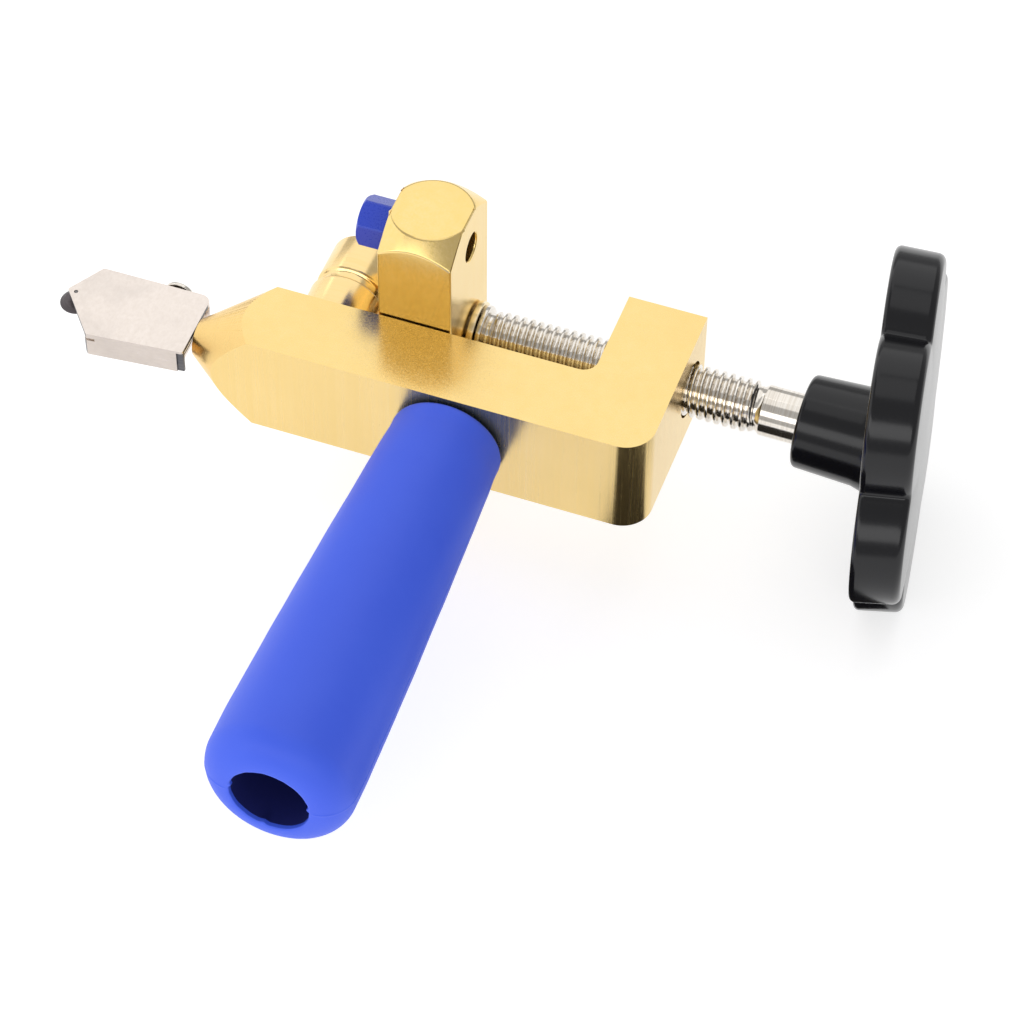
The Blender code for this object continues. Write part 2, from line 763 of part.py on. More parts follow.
def main():
    clear_scene()
    gold = material("gold_anodised", (0.83, 0.62, 0.28), 0.34, 1.0)
    pale_gold = material("pale_gold", (0.86, 0.70, 0.42), 0.28, 1.0)
    rubber = material("blue_rubber", (0.03, 0.06, 0.62), 0.5, 0.0)
    blue_plastic = material("blue_plastic", (0.03, 0.07, 0.5), 0.42, 0.0)
    black_plastic = material("black_plastic", (0.012, 0.012, 0.014), 0.25, 0.0)
    chrome = material("chrome", (0.78, 0.74, 0.68), 0.16, 1.0)
    steel = material("steel", (0.55, 0.55, 0.55), 0.3, 1.0)
    nickel = material("satin_nickel", (0.74, 0.66, 0.60), 0.36, 1.0)
    brass = material("brass", (0.75, 0.58, 0.3), 0.35, 1.0)
    carbide = material("carbide", (0.13, 0.12, 0.12), 0.4, 1.0)
    build_frame(gold)
    build_handle(rubber, steel)
    build_anvil(gold, steel)
    build_jaw(gold, blue_plastic, pale_gold)
    build_screw(chrome, steel)
    build_knob(black_plastic)
    build_head(nickel, steel, brass)
    build_stem(steel)
    build_wheel(steel, carbide)
    build_clamp_screw(steel)


main()
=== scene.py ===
"""Looks for the hand-held glass and tile cutter: fine meshes, finishes, light and camera.

Sizes are millimetres from one datum, the bar's right end, back face and mid-plane, which is
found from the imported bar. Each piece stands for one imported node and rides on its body.
"""

import math

import bmesh
import bpy
from mathutils import Matrix, Vector, noise


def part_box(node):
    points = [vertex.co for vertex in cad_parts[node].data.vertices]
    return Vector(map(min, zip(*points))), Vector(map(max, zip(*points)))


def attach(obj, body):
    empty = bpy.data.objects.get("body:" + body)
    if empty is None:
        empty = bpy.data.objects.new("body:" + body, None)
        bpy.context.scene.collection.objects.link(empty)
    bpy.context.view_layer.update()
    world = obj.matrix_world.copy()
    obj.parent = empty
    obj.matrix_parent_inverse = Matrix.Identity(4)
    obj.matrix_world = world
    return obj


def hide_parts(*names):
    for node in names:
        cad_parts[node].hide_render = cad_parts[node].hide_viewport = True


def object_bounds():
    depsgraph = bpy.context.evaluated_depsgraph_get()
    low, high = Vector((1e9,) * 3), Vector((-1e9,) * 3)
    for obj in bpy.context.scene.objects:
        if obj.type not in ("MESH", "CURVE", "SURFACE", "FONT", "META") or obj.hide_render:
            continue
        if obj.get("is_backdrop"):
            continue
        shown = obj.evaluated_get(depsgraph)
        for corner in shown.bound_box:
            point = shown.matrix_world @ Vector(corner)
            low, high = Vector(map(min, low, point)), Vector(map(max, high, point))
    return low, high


MM = 0.001
FULL_TURN = 2 * math.pi

# Room between fitted pieces, and how far a cutter runs past what it cuts
GAP = 0.3
OVERRUN = 4.0

# Meshing: degrees of turn, share of a side that a rounding may take, metres for welding
CORNER_TURN = 14.0
CORNER_SHARE = 0.45
FLAT_TURN = 0.2
SMOOTH_TURN = 38.0
SOFTENED_SMOOTH_TURN = 44.0
SQUARE_TURN = 60.0
BLOCK_SOFT_TURN = 22.0
WELD = 1e-8

# Bar and arm
BAR_LEFT = -84.0
BAR_NEAR = -14.05
BAR_HALF_HEIGHT = 10.0
ARM_WIDTH = 14.0
ARM_REACH = 18.7
OUTER_FILLET = 5.3
INNER_FILLET = 2.6
BAR_BEVEL = 0.3
CONE_EDGE_SHARE = 0.35
CONE_SLOPE = (0.3, 0.95)
BAR_EDGE_SLOT = 2
TURN_CLEARANCE = 60.0

# Turned nose
NOSE_Y = BAR_NEAR / 2
NOSE_LINE = (0, NOSE_Y, 0)
NOSE_END = -82.9
NOSE_RADIUS = 3.35
NOSE_SLOPE = 0.735
NOSE_ROOT = -69.6
NOSE_BORE = 2.55
NOSE_SIDES = 256

# Feed screw
SCREW_Y = 10.8
SCREW_LINE = (0, SCREW_Y, 0)
PITCH = 1.5
THREAD_CREST = 4.6
THREAD_ROOT = 3.8
THREAD_START = -36.3
THREAD_STOP = 12.4
THREAD_STEP = PITCH / 14
RUN_OUT = 1.3
THREAD_VALLEY = 0.22
THREAD_FLANK = 0.56
ARM_BORE = 5.05
SHOULDER_LEFT = -37.7
SHOULDER_RADIUS = 5.0
SHOULDER_FOOT = 0.3
SPIGOT_RADIUS = 3.0
SPIGOT_END = -52.3
CLIP_LEFT = -51.45
CLIP_THICKNESS = 0.6
CLIP_GROOVE = 2.3
CLIP_OUTER = 4.7
CLIP_MOUTH = 25
SHANK_RADIUS = 4.4
SHANK_END = 30.0

# Sliding jaw block
JAW_FLAT_RADIUS = 7.0
JAW_BEVEL = 0.35
JAW_EDGE_SLOT = 1
JAW_SIDES = 224
JAW_MARGIN = 1.0
ARCH_EDGE_SHARE = 0.8
BORE_EDGE_SHARE = 0.2
BORE_EDGE_MARGIN = 0.5
COUNTERBORE_RADIUS = 5.3
COUNTERBORE_DEPTH = 2.4
PAD_HOLE_RADIUS = 2.6
PAD_CHAMFER = 0.8
PAD_STEM_RADIUS = 2.3
PAD_EDGE = 0.3
PAD_SHARE = 0.96
PAD_FACE_INSET = 0.95
PAD_SHOULDER = (0.55, 0.12)
PAD_MARGIN = 0.2
PAD_STEM_OVERLAP = 2.0
RING_ROUND = 0.2

# Anvil
ANVIL_RADIUS = 6.6
ANVIL_BELLY = 6.85
ANVIL_FOOT = 6.2
ANVIL_FLARE = (0.45, 4.2)
GROOVE_NEAR = 9.2
GROOVE_FAR = 11.2
GROOVE_RADIUS = 6.0
GROOVE_CHAMFER = 0.3
BELLY_CHAMFER = 0.4
RIM_CHAMFER = 0.2
ANVIL_BOLT_RADIUS = 2.0
ANVIL_HEAD_RADIUS = 3.5
ANVIL_HEAD_HEIGHT = 3.0
ANVIL_BOLT_DEPTH = 8.0
ANVIL_SOCKET_RADIUS = 1.7
ANVIL_SOCKET_DEPTH = 1.8

# Handle; a nick is (angle round the hole, width in radians, depth)
GRIP_NECK_RADIUS = 9.8
GRIP_BELLY_RADIUS = 12.6
GRIP_BELLY_Y = -82.0
GRIP_END = -93.6
GRIP_END_ROUND = 5.6
GRIP_BORE = 6.7
GRIP_NECK_ROUND = 1.1
GRIP_STEPS = 60
GRIP_SIDES = 180
GRIP_SWELL = (0.6, 0.4)
WAIST_DEPTH = 0.12
WAIST_SPOT = 0.035
WAIST_WIDTH = 0.03
GRIP_WAVE = 0.05
GRIP_WAVE_SCALE = 0.16
RIPPLE_HEIGHT = 0.012
RIPPLE_SCALE = 0.5
RIDGE_HEIGHT = 0.07
RIDGE_WIDTH = 0.16
TORN_DEPTH = 0.10
TORN_SCALE = 5.0
TORN_NICKS = ((6.2, 0.05, 0.45), (1.75, 0.09, 0.4), (3.3, 0.05, 0.35))
CORE_RADIUS = 6.3
CORE_END = -70.0
CORE_SPIGOT_RADIUS = 4.9
CORE_SPIGOT_DEPTH = 9.0

# Knob; the hub's flare is (added radius, distance from the star's inner face)
KNOB_FRONT = 20.0
HUB_RADIUS = 8.15
HUB_DRAFT = 0.1
HUB_FLARE = ((0.4, -1.4), (0.9, 0.4), (1.5, 2.6))
HUB_ROUND = 1.0
STAR_LEFT = 32.1
STAR_RIGHT = 41.3
STAR_LOBES = 6
STAR_PHASE = math.radians(5.5)
LOBE_CENTRE = 18.6
LOBE_RADIUS = 13.9
VALLEY_SOFTNESS = 0.3
KNOB_LEAN = math.radians(8.9)
KNOB_TILT = math.radians(-1.8)
STAR_ROUND = 1.5
STAR_DRAFT = 0.5
STAR_DOME = 0.7
STAR_DOME_POWER = 2.2
STAR_STEPS = 288
STAR_TRIM = 0.05
STAR_INNER_ROUND = 0.7
STAR_INNER_INSET = 1.1
STAR_INNER_SHARES = (0.3, 0.6, 0.8)
STAR_OUTER_SHARES = (0.9, 0.75, 0.6, 0.45, 0.3, 0.15, 0.0)

# Cutter head; its outline runs from the wheel's tip round the far side
HEAD_HALF = 2.5
SHEET = 0.8
HEAD_ROUND = 0.5
HEAD_BEVEL = 0.55
CUT_EDGE_SHARE = 0.2
FOLD_LENGTH = 5.0
FAR_CORNER_EASE = 2.0
FAR_CORNER_CLEAR = 1.6
LEFT_CORNER_CLEAR = 1.2
EASE_STEPS = 8
WALL_Y = -9.0
RELIEF_Y = -12.0
CUT_EDGE_SLOT = 1
SHADED_WALL_SLOT = 2
RELIEF_LENGTH = 1.5
RELIEF_LEVELS = (0.95, 1.5)
STEP_WIDTH = 1.15
STEP_DEPTH = 0.3
STEP_TOP = HEAD_HALF - 0.5
HEAD_OUTLINE = ((-107.6, -6.5), (-103.7, 0.1), (-83.5, 0.3), (-83.2, -13.5), (-100.4, -15.2))
STEM_RADIUS = 2.2
NECK_RADIUS = 0.75
STEM_LEFT = -88.0
STEM_GROOVE_RADIUS = 1.5
STEM_GROOVE = (-69.4, -67.2)
STEM_END = -66.0
GRUB_RADIUS = 1.5
GRUB_BORE_TOP = -1.0
GRUB_TIP_RADIUS = 0.7
GRUB_TAPER = (-3.0, -2.6)
GRUB_SOCKET_RADIUS = 0.8
GRUB_SOCKET_DEPTH = 1.6
AXLE_X = -106.0
AXLE_Y = -6.65
AXLE_LINE = (AXLE_X, AXLE_Y, 0)
AXLE_RADIUS = 0.5
AXLE_END_RADIUS = 0.32
AXLE_CLEARANCE = 0.05
AXLE_STEP_GAP = 0.1
WHEEL_RADIUS = 3.0
WHEEL_HALF = 0.55
WHEEL_BORE_GAP = 0.15
WHEEL_BEVEL = 0.75
WHEEL_RIM = 0.9
WHEEL_RIM_DROP = 0.05
INSERT_HALF = 1.4
INSERT_WALL_GAP = 1.4
INSERT_WHEEL_GAP = 0.6
INSERT_CHAMFER = (2.5, 3.5)
INSERT_BORE_END = -70.0
CLAMP_X = -90.0
CLAMP_LINE = (CLAMP_X, 0, 0)
CLAMP_RADIUS = 1.2
CLAMP_HOLE_REACH = 3.0
CLAMP_BORE_DEPTH = 5.5
CLAMP_HEAD_RADIUS = 2.8
CLAMP_HEAD_HEIGHT = 1.3
CLAMP_HEAD_RIM = 0.5
CLAMP_HEAD_DOME = 0.8
DRIVE_HALF_WIDTH = 0.3
DRIVE_HALF_LENGTH = 1.2
DRIVE_DEPTH = 0.9

# Camera, with its roll and its distance from the target
CAMERA_BACK = Vector((0.21368926, -0.60694454, 0.76547713))
CAMERA_ROLL = math.radians(0.712)
CAMERA_TARGET = (-19.17, -25.28, 0.0)
CAMERA_DISTANCE = 617.345
CAMERA_LENS = 131.418
CAMERA_SENSOR = 36.0
CAMERA_CLIP = (0.05, 20.0)

# Studio in metres and watts; the card's corners are drawing millimetres
FLOOR_SIZE = 6.0
FLOOR_DROP = 0.0005
FLOOR_GLOW = 0.6
CARD_LOW = (-11.0, -75.0)
CARD_HIGH = (42.0, -5.0)
CARD_RISE = 0.001
WORLD_STRENGTH = 0.5
LIGHT_TARGET = (0.0, 0.0, 0.03)
LIGHT_BOXES = (
    ("back_box", (-0.3, 0.85, 1.05), (1.6, 1.2), 4.2),
    ("front_box", (0.0, -0.98, 0.66), (2.4, 0.46), 6.0),
    ("top_box", (0.0, 0.05, 1.35), (0.9, 0.7), 1.2),
    ("side_box", (-1.1, -0.1, 0.42), (2.4, 0.8), 4.4),
)


# ---- mesh helpers


def rounded(points, radius, closed=False, steps=4, least=CORNER_TURN):
    """Round each corner of a line of points that turns more than `least` degrees."""
    count = len(points)
    found = []
    for index, point in enumerate(points):
        here = Vector(point)
        before = Vector(points[index - 1]) - here
        after = Vector(points[(index + 1) % count]) - here
        at_end = not closed and index in (0, count - 1)
        if at_end or math.degrees(math.pi - before.angle(after)) < least:
            found.append(tuple(here))
            continue
        turn = math.pi - before.angle(after)
        most = min(CORNER_SHARE * before.length, CORNER_SHARE * after.length)
        reach = min(radius * math.tan(turn / 2), most)
        start = here + before.normalized() * reach
        stop = here + after.normalized() * reach
        for step in range(steps + 1):
            part = step / steps
            bend = start * (1 - part) ** 2 + here * 2 * part * (1 - part) + stop * part**2
            found.append(tuple(bend))
    return found


def arc(centre, radius, start, stop, steps):
    """Points on an arc, with angles in degrees."""
    found = []
    for step in range(steps + 1):
        angle = math.radians(start + (stop - start) * step / steps)
        found.append((centre[0] + radius * math.cos(angle), centre[1] + radius * math.sin(angle)))
    return found


def axis_matrix(axis):
    """Turns the local Z axis onto the named axis."""
    if axis == "x":
        return Matrix.Rotation(math.radians(90), 3, "Y")
    if axis == "y":
        return Matrix.Rotation(math.radians(-90), 3, "X")
    return Matrix.Identity(3)


def shade(item, angle=SMOOTH_TURN):
    item.data.shade_smooth()
    item.data.set_sharp_from_angle(angle=math.radians(angle))
    return item


def close_mesh(tool, name, axis="z", centre=(0, 0, 0)):
    """Turn a drawing-millimetre bmesh into a linked object at the datum."""
    bmesh.ops.rotate(tool, verts=tool.verts, cent=(0, 0, 0), matrix=axis_matrix(axis))
    bmesh.ops.translate(tool, verts=tool.verts, vec=centre)
    bmesh.ops.scale(tool, verts=tool.verts, vec=(MM, MM, MM))
    bmesh.ops.remove_doubles(tool, verts=tool.verts, dist=WELD)
    bmesh.ops.recalc_face_normals(tool, faces=tool.faces)
    mesh = bpy.data.meshes.new(name)
    tool.to_mesh(mesh)
    tool.free()
    item = bpy.data.objects.new(name, mesh)
    item.location = DATUM
    bpy.context.scene.collection.objects.link(item)
    return shade(item)


def bridge(tool, near, far):
    """Faces between two rings of points, either of which may be a single point."""
    count = max(len(near), len(far))
    for side in range(count):
        after = (side + 1) % count
        turns = ((near, side), (near, after), (far, after), (far, side))
        corners = list(dict.fromkeys(ring[spot % len(ring)] for ring, spot in turns))
        if len(corners) > 2:
            tool.faces.new(corners)


def lathe(name, profile, axis, centre=(0, 0, 0), sides=128, closed=False, warp=None):
    """Turn a profile of (radius, distance along the axis).

    `sides` is a count or a list of angles; warp(radius, along, angle) gives a changed pair.
    """
    tool = bmesh.new()
    angles = sides
    if isinstance(sides, int):
        angles = [FULL_TURN * side / sides for side in range(sides)]
    rings = []
    for radius, along in profile:
        if radius < 1e-6:
            rings.append([tool.verts.new((0, 0, along))])
            continue
        ring = []
        for angle in angles:
            r, a = warp(radius, along, angle) if warp else (radius, along)
            ring.append(tool.verts.new((r * math.cos(angle), r * math.sin(angle), a)))
        rings.append(ring)
    for near, far in zip(rings, rings[1:]):
        bridge(tool, near, far)
    if closed:
        bridge(tool, rings[-1], rings[0])
    return close_mesh(tool, name, axis, centre)


def stepped(start, *steps):
    """The profile of a solid turned in steps of (radius, where the step ends)."""
    profile = [(0, start)]
    for radius, stop in steps:
        profile += [(radius, start), (radius, stop)]
        start = stop
    return [*profile, (0, start)]


def rod(name, radius, start, stop, axis, centre=(0, 0, 0), sides=96):
    """A plain round cutter."""
    return lathe(name, stepped(start, (radius, stop)), axis, centre, sides)


def prism(name, outline, low, high, axis="z", centre=(0, 0, 0)):
    tool = bmesh.new()
    base = tool.faces.new([tool.verts.new((x, y, low)) for x, y in outline])
    grown = bmesh.ops.extrude_face_region(tool, geom=[base])
    lifted = [item for item in grown["geom"] if isinstance(item, bmesh.types.BMVert)]
    bmesh.ops.translate(tool, verts=lifted, vec=(0, 0, high - low))
    return close_mesh(tool, name, axis, centre)


def bake(item):
    """Replace an object's mesh by what its modifiers make of it."""
    graph = bpy.context.evaluated_depsgraph_get()
    mesh = bpy.data.meshes.new_from_object(item.evaluated_get(graph))
    item.modifiers.clear()
    item.data = mesh
    return item


def combine(item, tools, operation="DIFFERENCE"):
    """Cut, join or intersect with tool objects, which are then removed."""
    for tool in tools:
        step = item.modifiers.new(tool.name, "BOOLEAN")
        step.operation = operation
        step.solver = "EXACT"
        step.object = tool
    bake(item)
    for tool in tools:
        bpy.data.objects.remove(tool, do_unlink=True)
    return item


def soften(item, width, rows=3, angle=26.0, weigh=None, look=-1, clamp=True):
    """Round the edges that turn more than `angle`, each by its weight's share of `width`.

    `look` is the slot of the rounded faces, or -1 to keep their neighbours' slot.
    """
    tool = bmesh.new()
    tool.from_mesh(item.data)
    flat = math.radians(FLAT_TURN)
    bmesh.ops.dissolve_limit(tool, angle_limit=flat, verts=tool.verts, edges=tool.edges)
    weights = tool.edges.layers.float.get("bevel_weight_edge")
    if weights is None:
        weights = tool.edges.layers.float.new("bevel_weight_edge")
    for edge in tool.edges:
        turn = edge.calc_face_angle(0.0)
        if turn > math.radians(angle):
            edge[weights] = weigh(edge, math.degrees(turn)) if weigh else 1.0
    tool.to_mesh(item.data)
    tool.free()
    step = item.modifiers.new("edges", "BEVEL")
    step.limit_method = "WEIGHT"
    step.width = width * MM
    step.segments = rows
    step.material = look
    step.use_clamp_overlap = clamp
    step.harden_normals = False
    bake(item)
    shade(item, SOFTENED_SMOOTH_TURN)
    steady = item.modifiers.new("steady_normals", "WEIGHTED_NORMAL")
    steady.keep_sharp = True
    return item


def place(item, node, body, slot, *looks):
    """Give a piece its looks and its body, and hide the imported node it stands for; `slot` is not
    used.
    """
    item.data.materials.clear()
    for look in looks:
        item.data.materials.append(look)
    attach(item, body)
    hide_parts(node)
    return item


def centre_of(node):
    """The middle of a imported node's box as a drawing position."""
    low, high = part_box(node)
    return ((low + high) / 2 - DATUM) / MM


def span_of(node, axis):
    """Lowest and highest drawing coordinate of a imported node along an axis."""
    low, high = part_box(node)
    index = "xyz".index(axis)
    return (low - DATUM)[index] / MM, (high - DATUM)[index] / MM


# ---- finishes


class Nodes:
    """A short way to write a material's node tree."""

    def __init__(self, name):
        self.made = bpy.data.materials.new(name)
        self.made.use_nodes = True
        self.tree = self.made.node_tree
        self.shader = self.tree.nodes["Principled BSDF"]
        self.place = self.add("ShaderNodeTexCoord").outputs["Object"]

    def add(self, kind, **values):
        node = self.tree.nodes.new(kind)
        for key, value in values.items():
            setattr(node, key, value)
        return node

    def link(self, source, target):
        self.tree.links.new(source, target)

    def grain(self, scale, detail=3.0, stretch=(1, 1, 1), rough=0.5):
        """Noise whose cells are 1/scale metres across, stretched along the small axes."""
        mapping = self.add("ShaderNodeMapping")
        mapping.inputs["Scale"].default_value = stretch
        self.link(self.place, mapping.inputs["Vector"])
        texture = self.add("ShaderNodeTexNoise")
        texture.inputs["Scale"].default_value = scale
        texture.inputs["Detail"].default_value = detail
        texture.inputs["Roughness"].default_value = rough
        self.link(mapping.outputs["Vector"], texture.inputs["Vector"])
        return texture.outputs["Fac"]

    def ramp(self, source, low, high, start=0.0, stop=1.0):
        """Map a factor from low..high to start..stop."""
        node = self.add("ShaderNodeMapRange")
        node.inputs["From Min"].default_value = low
        node.inputs["From Max"].default_value = high
        node.inputs["To Min"].default_value = start
        node.inputs["To Max"].default_value = stop
        self.link(source, node.inputs["Value"])
        return node.outputs["Result"]

    def mix(self, factor, first, second):
        """Blend two colours, each a tuple or a socket."""
        node = self.add("ShaderNodeMix", data_type="RGBA")
        self.link(factor, node.inputs["Factor"])
        for socket, value in ((node.inputs["A"], first), (node.inputs["B"], second)):
            if isinstance(value, tuple):
                socket.default_value = (*value, 1.0)
            else:
                self.link(value, socket)
        return node.outputs["Result"]

    def add_up(self, first, second, share=0.5):
        node = self.add("ShaderNodeMath", operation="MULTIPLY_ADD")
        self.link(second, node.inputs[0])
        node.inputs[1].default_value = share
        self.link(first, node.inputs[2])
        return node.outputs[0]

    def colour(self, source):
        self.link(source, self.shader.inputs["Base Color"])

    def roughness(self, source):
        self.link(source, self.shader.inputs["Roughness"])

    def bump(self, height, depth, strength=1.0):
        node = self.add("ShaderNodeBump")
        node.inputs["Distance"].default_value = depth
        node.inputs["Strength"].default_value = strength
        self.link(height, node.inputs["Height"])
        self.link(node.outputs["Normal"], self.shader.inputs["Normal"])

    def set(self, **values):
        for key, value in values.items():
            self.shader.inputs[key.replace("_", " ")].default_value = value


def gold(name, base, worn, stretch, rough=0.24, streak=0.07):
    """Satin anodised aluminium with tool streaks along the axes that `stretch` makes small."""
    n = Nodes(name)
    streaks = n.grain(2600.0, 4.0, stretch, 0.65)
    broad = n.grain(420.0, 2.0, stretch, 0.5)
    fine = n.grain(9000.0, 2.0)
    cloud = n.grain(60.0, 3.0)
    both = n.add_up(streaks, broad, 0.6)
    tint = n.mix(n.ramp(both, 0.55, 1.05), base, worn)
    dull = tuple(0.955 * value for value in base)
    n.colour(n.mix(n.ramp(cloud, 0.35, 0.65, 0.0, 0.5), tint, dull))
    n.roughness(n.ramp(n.add_up(streaks, fine, 0.5), 0.5, 1.0, rough - streak, rough + streak))
    n.bump(n.add_up(fine, streaks, 0.8), 0.0000012, 0.5)
    n.set(Metallic=1.0)
    return n.made


def brushed(name, base, dark, stretch, rough, scale=2600.0, depth=0.000002):
    """Bare or plated metal with fine tool lines."""
    n = Nodes(name)
    lines = n.grain(scale, 4.0, stretch, 0.6)
    cloud = n.grain(180.0, 4.0)
    tint = n.mix(n.ramp(lines, 0.3, 0.7), base, dark)
    deeper = tuple(0.86 * value for value in base)
    n.colour(n.mix(n.ramp(cloud, 0.45, 0.75, 0.0, 0.6), tint, deeper))
    n.roughness(n.ramp(n.add_up(lines, cloud, 0.6), 0.5, 1.1, rough * 0.75, rough * 1.3))
    n.bump(lines, depth, 0.6)
    n.set(Metallic=1.0)
    return n.made


def worn_edge_with_highlight(name, base):
    """Corners where the colour is thin: paler, smoother and finely dented; the paler gold is partly
    wear and partly a painted highlight along the rounded edges.
    """
    n = Nodes(name)
    dents = n.grain(1500.0, 3.0)
    fine = n.grain(6000.0, 2.0)
    # Partly wear, partly painted highlight: a paler gold mixed in by the dent noise.
    pale = tuple(min(1.0, value * 1.06 + 0.06) for value in base)
    n.colour(n.mix(n.ramp(dents, 0.35, 0.65), base, pale))
    n.roughness(n.ramp(fine, 0.3, 0.7, 0.14, 0.28))
    n.bump(n.add_up(dents, fine, 0.3), 0.00003, 0.8)
    n.set(Metallic=1.0)
    return n.made


def moulded(name, base, pale, rough, specular, cell, depth, swirl=0.3):
    """Moulded plastic or rubber: a mottled colour, a fine texture and slow waves."""
    n = Nodes(name)
    cloud = n.grain(90.0, 5.0)
    spots = n.grain(cell, 3.0)
    slow = n.grain(160.0, 2.0)
    mottle = n.ramp(n.add_up(cloud, spots, 0.35), 0.45, 0.85, 0.0, swirl)
    n.colour(n.mix(mottle, base, pale))
    n.roughness(n.ramp(n.add_up(spots, cloud, 0.7), 0.55, 1.1, rough * 0.86, rough * 1.14))
    n.bump(n.add_up(spots, slow, 1.5), depth, 0.7)
    n.set(Specular_IOR_Level=specular)
    return n.made


def make_looks():
    base = (0.87, 0.635, 0.25)
    worn = (0.90, 0.675, 0.30)
    block_base = (0.87, 0.635, 0.225)
    across = (1.0, 1.0, 0.012)
    around_x = (1.0, 0.01, 0.01)
    around_y = (0.01, 1.0, 0.01)
    around_z = (0.01, 0.01, 1.0)
    rubber = moulded(
        "blue_rubber", (0.046, 0.112, 0.80), (0.068, 0.150, 0.86), 0.5, 0.38, 5200.0, 0.00001
    )
    # Painted shade: a much darker copy of the blue rubber for the inside of the grip's bore,
    # standing in for the shade deep in the hole.
    bore = moulded(
        "blue_rubber_painted_bore_shade", (0.010, 0.014, 0.11), (0.016, 0.022, 0.16), 0.6, 0.2, 5200.0, 0.00001
    )
    plastic = moulded(
        "blue_plastic", (0.018, 0.050, 0.52), (0.030, 0.080, 0.62), 0.28, 0.6, 3600.0, 0.000004
    )
    black = moulded(
        "black_plastic", (0.003, 0.003, 0.0045), (0.0055, 0.0055, 0.0075), 0.18, 0.42,
        2400.0, 0.000003,
    )
    return {
        "bar": gold("gold_bar", base, worn, across),
        "cone": gold("gold_cone", (0.86, 0.59, 0.22), (0.88, 0.62, 0.25), around_x, 0.26, 0.03),
        "edge": worn_edge_with_highlight("gold_edge_wear_and_highlight", base),
        "block": gold("gold_block", block_base, worn, (1.0, 1.0, 0.25), 0.2, 0.04),
        "anvil": gold("gold_anvil", (0.90, 0.65, 0.29), (0.92, 0.70, 0.36), around_y, 0.2, 0.03),
        "ring": gold("gold_ring", (0.93, 0.76, 0.47), (0.97, 0.86, 0.62), around_x, 0.22),
        "chrome": brushed("plated_thread", (0.86, 0.82, 0.76), (0.66, 0.60, 0.52), around_x, 0.13),
        "steel": brushed("machined_steel", (0.56, 0.56, 0.55), (0.42, 0.42, 0.42), around_x, 0.28),
        "steel_y": brushed("turned_steel", (0.56, 0.56, 0.55), (0.42, 0.42, 0.42), around_y, 0.28),
        "steel_z": brushed("ground_steel", (0.50, 0.50, 0.50), (0.38, 0.38, 0.38), around_z, 0.3),
        "nickel": brushed(
            "satin_nickel", (0.83, 0.75, 0.69), (0.79, 0.71, 0.645), (1, 0.6, 0.3), 0.36,
            2200.0, 0.000003,
        ),
        # Painted shade: a darker copy of the satin nickel for the folded-down near wall, standing
        # in for the shade that falls on it.
        "fold": brushed(
            "painted_shade_nickel", (0.66, 0.59, 0.535), (0.62, 0.55, 0.495), (0.3, 1, 1), 0.34,
            2200.0, 0.000003,
        ),
        "cut_edge": brushed("sheared_edge", (0.17, 0.165, 0.17), (0.10, 0.10, 0.11), around_z, 0.4),
        "brass": brushed("pale_brass", (0.82, 0.68, 0.47), (0.70, 0.55, 0.35), (1, 0.5, 1), 0.3),
        "pin": brushed("dark_pin", (0.22, 0.21, 0.21), (0.12, 0.12, 0.12), around_z, 0.4),
        "carbide": brushed("carbide", (0.15, 0.13, 0.135), (0.10, 0.09, 0.095), around_z, 0.42),
        "rubber": rubber,
        "bore": bore,
        "plastic": plastic,
        "black": black,
    }


# ---- bar and handle


def bar_outline():
    """The L-shaped outline of the bar and its arm, seen from above."""
    fillet = OUTER_FILLET
    inner = (-ARM_WIDTH - INNER_FILLET, INNER_FILLET)
    points = [(BAR_LEFT, 0.0), (BAR_LEFT, BAR_NEAR)]
    points += arc((-fillet, BAR_NEAR + fillet), fillet, -90, 0, 30)
    points += [(0.0, ARM_REACH), (-ARM_WIDTH, ARM_REACH)]
    points += arc(inner, INNER_FILLET, 0, -90, 16)
    return points


def nose_envelope():
    """A turned blank whose left end is the nose cone, for trimming the bar."""
    root_radius = NOSE_RADIUS + NOSE_SLOPE * (NOSE_ROOT - NOSE_END)
    far = TURN_CLEARANCE
    profile = [(0, NOSE_END), (NOSE_RADIUS, NOSE_END), (root_radius, NOSE_ROOT)]
    profile += [(far, NOSE_ROOT), (far, far), (0, far)]
    return lathe("nose_envelope", profile, "x", NOSE_LINE, NOSE_SIDES)


def bar_edge_weight(edge, turn):
    """Full rounding on square edges, a thin line where the cone meets the flats."""
    return 1.0 if turn > SQUARE_TURN else CONE_EDGE_SHARE


